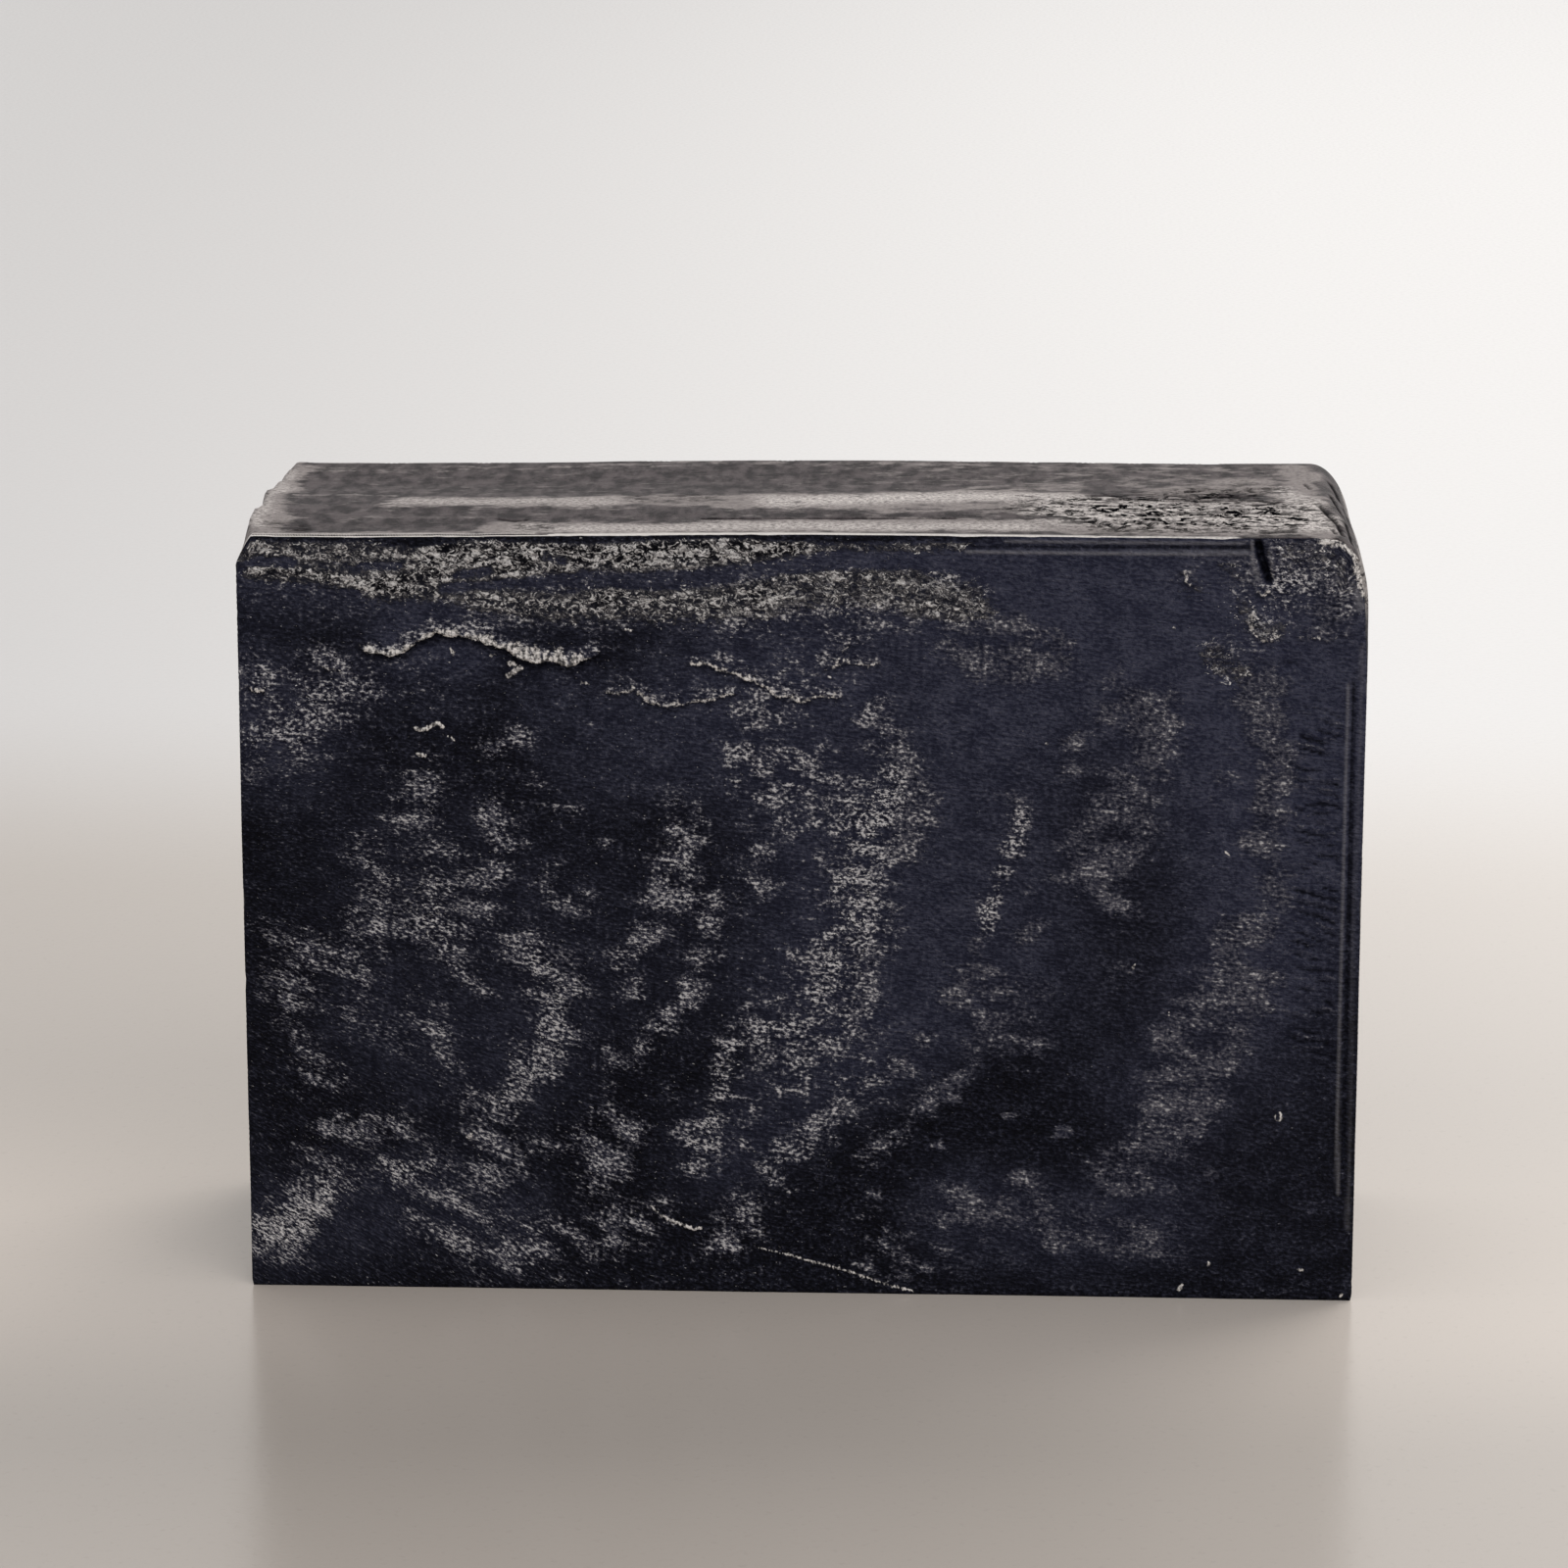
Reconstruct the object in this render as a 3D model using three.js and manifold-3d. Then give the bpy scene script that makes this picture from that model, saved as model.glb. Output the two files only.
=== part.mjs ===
// A hand-cut bar of black charcoal soap: one slice of a loaf that was poured in a box mould.
// The two large faces are wire cuts, the two ends and the underside touched the mould,
// and the narrow face on top is the open, air-dried face of the loaf.
//
// Frame, in millimetres: the origin is the middle of the underside, +Z is up,
// +X runs along the bar, and the front cut face looks towards -Y.

import * as THREE from 'three';
import { mergeVertices } from 'three/addons/utils/BufferGeometryUtils.js';
import Module from 'manifold-3d';

// Driving dimensions
const LENGTH = 89; // mould wall to mould wall, along X
const THICKNESS = 28; // cut face to cut face, along Y
const HEIGHT = 62.7; // mould floor to the top of the loaf, along Z, on average

// Outline of the slice, in the XZ plane
const FLOOR_RADIUS = 0.5; // soft corner where the mould's wall met its floor
const FLOOR_CORNER_STEPS = 3;
const UNDERSIDE_STEPS = 6;
const WALL_STEPS = 5;
const TOP_STEPS = 30;
const BEVEL_DROP = 2.3; // height of the broken edge at the top left
const WORN_EDGE_STEPS = 8;
const WORN_EDGE_FRONT = { inset: 2.8, drop: 4.8 }; // rubbed edge at the top right
const WORN_EDGE_BACK = { inset: 4.4, drop: 3.6 };
const SLICE_STEPS = 16; // stations from the back cut face to the front one

// How far the broken top left edge is set in, at stations along Y: a row of shallow chips
const BEVEL_CHIPS = [
  [-14, 1.3], [-10, 0.6], [-5, 0.45], [-1.5, 0.85], [2, 0.4], [6, 0.6], [8, 1.3], [11, 1.2], [14, 1.6],
];

// Gentle relief of the loaf's open face
const TOP_TILT = 0.7; // the right end is this much higher than the left one
const RIDGE_HEIGHT = 0.12; // the low ridges that run along the bar
const RIDGE_PITCH = 17; // from ridge to ridge, across the bar
const RIDGE_OFFSET = -3;
const SWELL_HEIGHT = 0.12; // the slow rise and fall along the bar
const SWELL_PITCH = 70;

// Marks that the cutting wire and the tray left in the front cut face
const MARK_DEPTH = 0.3;
const END_GROOVE = { fromEnd: 2, width: 0.5, low: 9, high: 55 };
const TOP_GROOVE = { fromTop: 1.7, height: 0.7, left: 12, right: 34.6 };
const NOTCH = { fromEnd: 8.6, width: 0.8, height: 3.6, depth: 1.2 };

const SOAP = new THREE.MeshStandardMaterial({ color: 0x10141f, roughness: 0.55, metalness: 0 });

const halfLength = LENGTH / 2;
const halfThickness = THICKNESS / 2;

/** Value at `y` on a line through [y, value] stations that are in rising order of y. */
function alongStations(stations, y) {
  const last = stations.length - 1;
  const next = Math.max(1, stations.findIndex(([at]) => at >= y));
  const upper = next === -1 ? last : next;
  const [y0, v0] = stations[upper - 1];
  const [y1, v1] = stations[upper];
  return THREE.MathUtils.lerp(v0, v1, THREE.MathUtils.clamp((y - y0) / (y1 - y0), 0, 1));
}

/** Height of the loaf's open face above the underside. */
function topHeight(x, y) {
  const ridges = RIDGE_HEIGHT * Math.cos((2 * Math.PI * (y - RIDGE_OFFSET)) / RIDGE_PITCH);
  const swell = SWELL_HEIGHT * Math.cos((2 * Math.PI * x) / SWELL_PITCH);
  return HEIGHT + (TOP_TILT * x) / LENGTH + ridges + swell;
}

/** Quarter of an ellipse from angle `start`, in `steps` steps, without its last point. */
function cornerArc(cx, cz, rx, rz, start, steps) {
  return Array.from({ length: steps }, (_, i) => {
    const angle = start + (Math.PI / 2) * (i / steps);
    return [cx + rx * Math.cos(angle), cz + rz * Math.sin(angle)];
  });
}

/** Points from `a` towards `b`, without b. */
function straight(a, b, steps) {
  return Array.from({ length: steps }, (_, i) => [
    THREE.MathUtils.lerp(a[0], b[0], i / steps),
    THREE.MathUtils.lerp(a[1], b[1], i / steps),
  ]);
}

/** Outline of the slice at a station along Y, anticlockwise in XZ from the lower left corner. */
function outlineAt(y) {
  const share = (y + halfThickness) / THICKNESS;
  const inset = THREE.MathUtils.lerp(WORN_EDGE_FRONT.inset, WORN_EDGE_BACK.inset, share);
  const drop = THREE.MathUtils.lerp(WORN_EDGE_FRONT.drop, WORN_EDGE_BACK.drop, share);
  const chip = alongStations(BEVEL_CHIPS, y);
  const wornX = halfLength - inset;
  const wornZ = topHeight(wornX, y) - drop;
  const bevelX = -halfLength + chip;
  const bevelZ = topHeight(bevelX, y) - BEVEL_DROP;
  const r = FLOOR_RADIUS;
  const top = straight([wornX, 0], [bevelX, 0], TOP_STEPS).map(([x]) => [x, topHeight(x, y)]);
  return [
    ...cornerArc(-halfLength + r, r, r, r, Math.PI, FLOOR_CORNER_STEPS),
    ...straight([-halfLength + r, 0], [halfLength - r, 0], UNDERSIDE_STEPS),
    ...cornerArc(halfLength - r, r, r, r, -Math.PI / 2, FLOOR_CORNER_STEPS),
    ...straight([halfLength, r], [halfLength, wornZ], WALL_STEPS),
    ...cornerArc(wornX, wornZ, inset, drop, 0, WORN_EDGE_STEPS),
    ...top,
    [bevelX, topHeight(bevelX, y)],
    ...straight([-halfLength, bevelZ], [-halfLength, r], WALL_STEPS),
  ];
}

/** The slice: one outline extruded through its thickness, then shaped station by station. */
function sliceGeometry() {
  const middle = outlineAt(0);
  const shape = new THREE.Shape(middle.map(([x, z]) => new THREE.Vector2(x, z)));
  const geometry = new THREE.ExtrudeGeometry(shape, {
    depth: THICKNESS,
    steps: SLICE_STEPS,
    bevelEnabled: false,
  });
  geometry.rotateX(Math.PI / 2);
  geometry.translate(0, halfThickness, 0);
  shapeByStation(geometry, middle);
  return geometry;
}

/** Moves each vertex from the middle outline to the outline of its own station. */
function shapeByStation(geometry, middle) {
  const position = geometry.getAttribute('position');
  for (let i = 0; i < position.count; i++) {
    const y = position.getY(i);
    const index = nearestPoint(middle, position.getX(i), position.getZ(i));
    const [x, z] = outlineAt(y)[index];
    position.setXYZ(i, x, y, z);
  }
}

/** Index of the outline point nearest to (x, z). */
function nearestPoint(outline, x, z) {
  const distances = outline.map(([px, pz]) => Math.hypot(px - x, pz - z));
  return distances.indexOf(Math.min(...distances));
}

/** A box that reaches `depth` into the front cut face. */
function frontCutter(left, right, low, high, depth) {
  const reach = 2 * depth;
  const box = new THREE.BoxGeometry(right - left, reach, high - low);
  box.translate((left + right) / 2, -halfThickness, (low + high) / 2);
  return box;
}

/** The notch under the top edge and the two drag grooves of the front cut face. */
function frontMarks() {
  const grooveX = halfLength - END_GROOVE.fromEnd;
  const grooveZ = HEIGHT - TOP_GROOVE.fromTop;
  const notchX = halfLength - NOTCH.fromEnd;
  const notchTop = HEIGHT - 1;
  return [
    frontCutter(grooveX - END_GROOVE.width, grooveX, END_GROOVE.low, END_GROOVE.high, MARK_DEPTH),
    frontCutter(TOP_GROOVE.left, TOP_GROOVE.right, grooveZ - TOP_GROOVE.height, grooveZ, MARK_DEPTH),
    frontCutter(notchX - NOTCH.width, notchX, notchTop - NOTCH.height, notchTop, NOTCH.depth),
  ];
}

const wasm = await Module();
wasm.setup();

/** A closed three.js geometry as a solid that can be cut. */
function toSolid(geometry) {
  const bare = geometry.clone();
  bare.deleteAttribute('normal');
  bare.deleteAttribute('uv');
  const merged = mergeVertices(bare);
  return new wasm.Manifold(
    new wasm.Mesh({
      numProp: 3,
      vertProperties: new Float32Array(merged.getAttribute('position').array),
      triVerts: new Uint32Array(merged.getIndex().array),
    }),
  );
}

/** A solid as a three.js geometry. */
function toGeometry(solid) {
  const mesh = solid.getMesh();
  const geometry = new THREE.BufferGeometry();
  geometry.setAttribute('position', new THREE.BufferAttribute(mesh.vertProperties, 3));
  geometry.setIndex(new THREE.BufferAttribute(mesh.triVerts, 1));
  geometry.computeVertexNormals();
  return geometry;
}

/** The whole bar: the slice with its marks cut out. */
function soapBar() {
  const marked = frontMarks().reduce(
    (solid, cutter) => solid.subtract(toSolid(cutter)),
    toSolid(sliceGeometry()),
  );
  const mesh = new THREE.Mesh(toGeometry(marked), SOAP);
  mesh.name = 'soap_bar';
  return mesh;
}

const bar = new THREE.Group();
bar.add(soapBar());

export default bar;
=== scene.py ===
"""A hand-cut bar of black charcoal soap, standing on its long narrow side.

The bar is one closed mesh, shaped in millimetres and written in metres. A plain box is refined where
the detail is, then its corners are broken and its faces get their relief: the cut faces with their
tears, wire marks and crumbly crust, and the loaf's open face with its film and pits. Drawn strokes say
where these are. What they cover is stored on the mesh too, and the materials read it for the
pale bloom, the crust and the film.
"""

import math

import bpy
import numpy as np
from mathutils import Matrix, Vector


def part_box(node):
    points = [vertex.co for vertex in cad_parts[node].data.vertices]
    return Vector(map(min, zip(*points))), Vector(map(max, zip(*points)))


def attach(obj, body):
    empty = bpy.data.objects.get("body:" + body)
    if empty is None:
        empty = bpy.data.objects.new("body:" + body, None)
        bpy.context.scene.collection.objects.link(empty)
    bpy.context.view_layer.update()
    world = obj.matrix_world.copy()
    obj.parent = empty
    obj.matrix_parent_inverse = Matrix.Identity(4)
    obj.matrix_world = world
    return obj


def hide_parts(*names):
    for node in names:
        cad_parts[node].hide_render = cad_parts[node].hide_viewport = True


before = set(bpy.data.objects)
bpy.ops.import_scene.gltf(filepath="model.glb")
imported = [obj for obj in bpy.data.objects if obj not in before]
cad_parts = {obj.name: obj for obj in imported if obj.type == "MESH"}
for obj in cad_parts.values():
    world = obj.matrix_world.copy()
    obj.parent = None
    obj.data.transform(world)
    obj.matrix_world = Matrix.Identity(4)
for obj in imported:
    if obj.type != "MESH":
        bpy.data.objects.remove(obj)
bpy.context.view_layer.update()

MM = 0.001
NODE = "soap_bar"

# The bar, in millimetres, from the CAD node, and the height of the open face before its relief
node_low, node_high = (np.array(corner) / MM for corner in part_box(NODE))
HALF_LENGTH = (node_high[0] - node_low[0]) / 2
HALF_THICKNESS = (node_high[1] - node_low[1]) / 2
HEIGHT = 62.7

# Relief of the open face: a tilt, low ridges along the bar and a slow swell
TOP_TILT = 0.7
RIDGE_HEIGHT, RIDGE_PITCH, RIDGE_OFFSET = 0.12, 17, -3
SWELL_HEIGHT, SWELL_PITCH = 0.12, 70

# The broken edge at the top left, at stations along Y, the worn one at the top right and the two below
BEVEL_DROP = 2.3
BEVEL_STATIONS = (-14, -10, -5, -1.5, 2, 6, 8, 11, 14)
BEVEL_INSETS = (1.3, 0.6, 0.45, 0.85, 0.4, 0.6, 1.3, 1.2, 1.6)
WORN_INSETS, WORN_DROPS = (2.7, 3.6), (5.6, 7.0)
FLOOR_RADIUS, FLAT_FOOT = 0.45, 0.3
BEVEL_POWER, ROUND_POWER = 1.15, 2.0
CORNER_ROUGHNESS, CORNER_PITCH = 0.25, 2.6
# The edges round the cut faces, with their chips, and more of a radius at the worn corner
CUT_RADIUS, CHIP_RADIUS, CHIP_PITCH = 0.13, 0.55, 2.2
WORN_RADIUS, WORN_FROM_X, WORN_FROM_Z = 1.1, (39.5, 43.5), (50, 60)

# Sides of the box
FRONT, BACK, LEFT, RIGHT, TOP, UNDER = range(6)

# Longest edge of the mesh on each side, in the same order, and near edges and features
SIDE_PITCH = (0.85, 1.6, 2.0, 2.0, 1.0, 3.2)
EDGE_PITCH, EDGE_REACH = 0.45, 0.5
CRUST_PITCH, TEAR_PITCH, MARK_PITCH, PIT_PITCH = 0.27, 0.22, 0.32, 0.42
COARSE_CELL = 7.0
REFINE_ROUNDS = 16


def strokes(*rows):
    """Each row is a stroke's radius and strength and then the coordinates of its points, in millimetres."""
    return tuple((row[0], row[1], tuple(zip(row[2::2], row[3::2]))) for row in rows)


# ---------------------------------------------------------------- what is drawn on the front cut face
# A point is x along the bar and z above the underside.

# The crumbly, granular crust under the top edge, and the smooth lens-shaped gaps in it
CRUST = strokes(
    (1.3, 0.75, -44, 61.6, -38, 61.7, -32, 61.4, -28, 61.5),
    (1.6, 1, -28, 61.3, -22, 61.2, -14, 61.3, -7, 61.4, -1, 61.7),
    (0.7, 0.9, -43, 59.9, -39, 59.7, -36, 59.3, -33, 58.8, -31, 58.6),
    (1.3, 0.9, -33, 58.9, -29.5, 59.5, -26, 60, -22, 60.4), (0.7, 0.5, -29.6, 58, -27, 58),
    (1.1, 0.8, -25.5, 57.9, -22, 57.2, -18, 57, -15, 57.5),
    (1.5, 0.8, -15, 57.6, -10, 57.2, -6, 57.4, -3, 57.8), (1.4, 0.6, -3, 57.8, 3, 58.2, 8, 58.2, 13, 57.7),
    (0.8, 0.7, -19, 60, -16, 59.7, -12, 60.1), (0.7, 0.6, -1, 61.7, 5, 61.6, 10, 61.7, 13, 61.8),
    (0.9, 0.5, 9, 56.8, 14.5, 56.8), (0.8, 0.6, -2, 59.7, 4, 59.6, 9, 59.6),
    (0.7, 0.45, 34.6, 57.2, 35.3, 56, 36.3, 55.2, 37.6, 55.4), (0.9, 0.5, 32.2, 53.6, 33, 52.4, 34.6, 51.8),
    (0.5, 0.3, 29.6, 59.4, 30.4, 58.7, 31.4, 58.8), (0.6, 0.35, 33.2, 60.4, 34.2, 60),
    (1.2, 0.34, 38.2, 61.6, 41.2, 61.2, 42.6, 59.6),
)
CRUST_GAPS = strokes(
    (0.62, 0.9, -17, 59.3, -12, 59, -8, 59.2, -3, 59.9, 2, 60.6, 8, 60.6, 14, 60.6),
    (0.35, 0.9, -28, 58.5, -24, 58.8, -20, 59.2, -17, 59.3), (0.35, 0.9, -43.5, 60.7, -40, 60.6),
    (0.3, 0.8, -34.5, 60.3, -31.5, 60.4), (0.35, 0.8, -27, 59.6, -24.5, 59.9),
    (0.3, 0.7, -20, 61, -18.5, 60.6),
)

# Pale bloom, in arcs that sweep from the upper right down to the lower left
BLOOM_LEFT = strokes(
    (1.6, 0.45, -38, 61, -28, 60, -16, 60.4, -6, 60.8), (1.8, 0.45, -26, 57.4, -14, 57.2, -4, 58.2),
    (1.4, 0.26, -43, 58, -39, 57.8, -36, 57.6), (3, 0.36, -44, 47.5, -41, 48.5, -37.5, 49),
    (1.2, 0.55, -40, 46.6, -38.5, 47.5), (1.3, 0.45, -37.5, 50.6, -34, 50.2),
    (2, 0.32, -44, 43.5, -41.5, 44.2, -39, 45), (1.3, 0.45, -37.8, 52.8, -36.8, 52.3),
    (1.3, 0.6, -43.5, 51.5, -42.7, 51.2), (0.9, 0.65, -24.5, 45.8, -22.6, 46.4),
    (1.6, 0.42, -29, 43, -30.6, 41.4, -31.6, 39.3), (1.4, 0.75, -24, 40, -23.2, 37.5, -24.3, 35.2),
    (1.6, 0.54, -34.6, 36.4, -34, 35, -33.3, 32.3, -35, 31),
    (2, 0.52, -28.6, 36.4, -27.8, 34.2, -28.8, 31.8, -28, 30), (1.1, 0.55, -26.3, 34.2, -25, 32),
    (1.2, 0.5, -19.4, 34.2, -18, 32.6), (0.8, 0.4, -18.8, 40.4, -17.8, 40),
    (0.7, 0.35, -20.8, 42.6, -20.2, 41.6),
    (1.4, 0.7, -8.8, 39, -10.2, 36.5, -11, 34.2, -11, 32, -11.6, 30.6), (1, 0.45, -10.3, 41, -9.4, 40.4),
    (1.1, 0.4, -7.8, 34, -6.8, 32.2), (2.3, 0.5, -2.6, 49, -3.6, 46.5, -2.4, 43.5, -1.2, 41),
    (1.3, 0.45, -3, 37, -2, 35.4, -4, 34), (1.8, 0.5, -34, 29.4, -37, 28, -39.2, 26.6, -41.5, 26),
    (1, 0.6, -30.5, 29.6, -28, 28.6), (0.7, 0.5, -27.2, 27, -25.4, 25.4),
    (1.8, 0.76, -22, 29, -20.8, 27.4, -19.2, 26), (1.2, 0.66, -20.8, 24.4, -19.8, 22, -19.2, 20),
    (1.2, 0.65, -19.8, 19, -22, 18.4, -23.2, 16.4), (1.3, 0.45, -35, 25, -36, 23.2),
    (1.2, 0.4, -40, 24, -41, 22.4), (1.2, 0.6, -31, 24.2, -29.6, 23.4, -29, 21.4, -28.8, 19.4),
    (1.3, 0.45, -40, 20.3, -39, 18.2, -37, 17.4), (1.8, 0.48, -26.6, 16.6, -24, 13.4, -23.4, 11.6),
    (1.6, 0.26, -15.4, 18.6, -12.6, 20, -11.6, 21), (1.6, 0.3, -27, 1.6, -20, 1.6),
    (1.2, 0.55, -38, 13.6, -35.4, 13.4, -32, 13.6), (1.1, 0.4, -38, 13, -39.6, 11.6),
    (0.8, 0.75, -33.8, 10.4, -32.3, 9.8), (1.2, 0.26, -26.3, 14.6, -23.5, 14.6),
    (1.8, 0.52, -30, 10, -27, 10.3, -24.6, 10.2), (1.7, 0.5, -31, 7.2, -27.4, 7, -25, 6.4),
    (1.4, 0.5, -18.6, 12, -16.4, 11.2, -15, 9.8, -17, 9), (1, 0.45, -14.3, 14.3, -14.6, 12),
    (1.7, 0.92, -43.2, 4.8, -41, 5.2, -40.2, 6.4), (1.3, 0.38, -43, 2.8, -41.2, 2.8),
    (1.2, 0.25, -38, 9.3, -35.8, 9.6), (1.1, 0.4, -28.8, 3.4, -27.4, 3.6),
    (1.5, 0.5, -25.6, 3, -22, 4, -20, 4.8, -17.6, 3.6, -15, 4.2, -13.2, 5.2),
    (1.3, 0.45, -15, 6.4, -12.2, 6.8), (1.3, 0.42, -13, 29, -14, 27.4, -13.6, 25.6),
    (1.3, 0.52, -7.6, 28.6, -8.4, 26.6, -9.5, 24.6, -10.8, 22.6), (1, 0.35, -18, 22, -16, 20.6),
    (1, 0.65, -9.6, 14.6, -9.1, 12.8, -8.7, 10.4),
    (0.9, 0.58, -5.8, 20, -6.3, 17.6, -6.6, 15.4, -7.4, 13, -7, 11.6),
    (1.6, 0.52, -0.6, 21.8, -2.8, 20.6, -4.6, 22.6), (1.2, 0.4, -6.6, 3.6, -4.2, 4.8),
    (0.9, 0.35, 0, 17.2, -2, 17.3, -3.6, 16.2), (1.4, 0.3, -33, 51.6, -29, 50.6),
    (1.3, 0.45, -8.6, 32.6, -7.6, 31.4), (1.3, 0.45, -22.2, 20.6, -20.4, 19.6),
    (1.3, 0.45, -17.4, 13, -15.2, 11.6), (1.2, 0.32, -31.6, 5.2, -30.4, 4.6),
    (1.2, 0.4, -33, 21.8, -31.4, 20.6), (1.3, 0.4, -29.6, 42, -29, 41), (1.6, 0.5, -39.8, 8, -37.4, 9.8),
    (1.4, 0.24, -14.4, 14.6, -13, 13.8), (1.3, 0.4, -42, 30, -40.2, 28.4), (1.2, 0.35, -5, 14.6, -4, 12.6),
)
BLOOM_RIGHT = strokes(
    (2.2, 0.7, -4, 57.2, 4, 57.4, 12, 58), (2, 0.35, 1, 52, 4, 53.5),
    (1.6, 0.55, 1.2, 44, 2.6, 42.4, 2.6, 41), (2, 0.62, 8.6, 44.5, 7.8, 42, 6.4, 40),
    (2, 0.54, 4.6, 39, 3.8, 37, 3.4, 34, 3.8, 30), (1.8, 0.85, 8.8, 41, 8.4, 37.6),
    (1.6, 0.65, 6.4, 33, 6, 29.4), (1.5, 0.58, 6.2, 45, 6.2, 47.6), (0.7, 0.45, 6, 49.4, 5.4, 48.6),
    (1.9, 0.8, 12.8, 54, 16.6, 53.4, 20.2, 53), (0.9, 0.35, 15.4, 56.4, 17, 55.8),
    (1.9, 0.84, 25.6, 50, 28, 49, 28.2, 47.4), (1.3, 0.62, 22, 46, 22, 43.4, 24.4, 42.6),
    (1.4, 0.5, 16.2, 43.6, 17, 41), (1.8, 0.6, 28.2, 45, 27.4, 43, 26, 41, 27, 39.6),
    (1.8, 0.6, 24, 40, 22, 37, 21.4, 35, 23.2, 37.2), (1.6, 0.72, 26, 37.4, 24.4, 34, 25.4, 32),
    (1.1, 0.62, 17.6, 40, 16.6, 37, 15.6, 34.6, 14.8, 31.4, 13.6, 28.4, 12.2, 24.6),
    (0.7, 0.6, 18, 33.6, 17.9, 32.4), (0.8, 0.65, 17.2, 30.4, 19.2, 30.9), (1.2, 0.4, 34, 45, 33, 42.4),
    (1.7, 0.8, 36.6, 50, 37.2, 47, 37.6, 44, 37.4, 41, 36, 39), (1.4, 0.66, 36.8, 36, 37.4, 34, 37.6, 31.8),
    (1, 0.75, 33.2, 30.6, 36.2, 30.6),
    (2.2, 0.76, 34.2, 28, 33.4, 25.6, 31.4, 23.6, 30.2, 21, 29.6, 18, 29.4, 15),
    (2.1, 0.68, 29.6, 13.4, 27.6, 12.2, 25.8, 11),
    (1.5, 0.68, 36, 26, 35, 23, 34.4, 20.4, 32.8, 17.6, 31.4, 14.4), (1, 0.4, 38.2, 28, 37.6, 25),
    (1.6, 0.7, 12.4, 7.6, 14, 7, 16, 7.2, 18, 7.6, 19.4, 7.4), (0.8, 0.45, 16.8, 9.8, 19.4, 9.8),
    (1.1, 0.45, 10, 6.8, 15, 5.8), (1.3, 0.5, 20, 5.6, 24, 6.2, 28, 5.6, 30.6, 6.6),
    (0.8, 0.5, 30.2, 8.8, 30.8, 8), (1.3, 0.48, 24, 4.2, 28, 4, 31, 3.6),
    (1.5, 0.2, 9, 3.4, 15, 3, 22, 3.4), (1.8, 0.36, 6, 2.4, 11, 2.4), (1, 0.32, 24, 9.6, 26, 9, 27.2, 9.6),
    (0.8, 0.45, 24.6, 27, 26.6, 27.6), (1.4, 0.62, 14.8, 27, 17, 26, 19.4, 25.2),
    (1.3, 0.5, 15.6, 24, 17.4, 22.2, 19.4, 21.8), (0.7, 0.45, 16, 19.6, 18.6, 19.8),
    (1.1, 0.6, 14.6, 22.6, 13.4, 20, 12.2, 17.8, 10.4, 15.8),
    (1.3, 0.62, 10, 21.4, 8.4, 20, 6.4, 18.4, 4, 16.4, 2, 14.6),
    (1.5, 0.5, 2.4, 14.4, 0.4, 13, -1.6, 11, -3, 9, -4.4, 7.4, -5.6, 5.8),
    (1.2, 0.45, 12, 16.8, 9, 15.4, 7, 13.6, 5.4, 12), (2, 0.66, 4.2, 23, 3, 21.6, 1, 20.4),
    (2, 0.56, 0, 26, 2, 27.2, 4.2, 25.8), (0.9, 0.4, 37.4, 0.8, 40.4, 1.2),
    (2.4, 0.9, 37, 60.8, 40.4, 60.4, 41.8, 58.6), (1.5, 0.3, 35, 58, 38.4, 57.4, 41, 56.2),
    (1.3, 0.45, 31.4, 60.6, 34, 60.2), (1.2, 0.4, 33.4, 49.6, 35.4, 50.6, 38.6, 51.2),
    (1.4, 0.4, -4, 43.4, -2, 42.8), (1.6, 0.4, 14.6, 52.2, 17, 51.6), (1.6, 0.45, 25, 48.6, 27, 47.4),
    (1.6, 0.4, 33.6, 53.4, 36, 52.4), (1.6, 0.4, 36.6, 47.6, 37.6, 46.4), (1.4, 0.4, 22.4, 38, 24, 36.6),
    (1.4, 0.45, 2.4, 27.6, 4, 26.6), (1.4, 0.4, -1.6, 20.6, -0.2, 19.6),
    (1.4, 0.45, 30.6, 20.6, 31.8, 19.6),
)
BLOOM_SPOTS = strokes(
    (0.5, 0.8, 11, 12.5, 11.3, 12.6), (0.35, 0.6, 15, 12.2, 15.2, 12.2), (0.7, 0.8, 20.8, 13.8, 21.3, 13.9),
    (0.45, 0.7, 24.4, 12, 24.7, 12), (0.4, 0.7, 16.4, 15.2, 17.2, 15.2), (0.5, 0.5, 5.8, 8.5, 6.3, 8.6),
    (1.4, 0.45, 5.8, 6.2, 6.6, 4.8), (0.6, 0.4, 33, 10.4, 33.1, 10.4), (0.5, 0.6, -15.7, 37.8, -15.4, 37.8),
    (0.5, 0.6, 20.2, 53.1, 20.6, 52.6),
)

# Where the bloom glitters with white flecks: pale crystals, the brightest painted as glints
SPARKLING = strokes(
    (2.6, 1, -44, 4.4, -41, 5, -38, 8), (3.2, 0.7, -44, 47, -41, 48, -38, 49.4),
    (3, 0.8, -33, 35, -30, 34, -29, 31), (2, 0.75, -21, 28, -19.4, 24, -21, 19, -24, 16),
    (2, 0.8, -6, 19, -7, 14, -9, 11), (3, 0.9, 6, 42, 4.4, 37, 4, 31), (2.2, 0.7, 3, 27, 0, 23, -4, 21),
    (1.2, 0.9, -34, 10.4, -32.3, 9.8, -30, 10), (1.6, 0.7, -29, 4, -27, 3),
    (1, 0.8, 17.6, 40, 15.6, 34.6, 14.8, 31), (2, 0.9, 33, 53, 34, 57, 36, 55, 38, 58),
    (2.4, 0.4, 38, 61, 42, 60.4, 43.6, 57.5), (2.2, 0.9, -44, 61, -20, 60, -8, 59, 6, 58.6, 13, 58),
)

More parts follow.
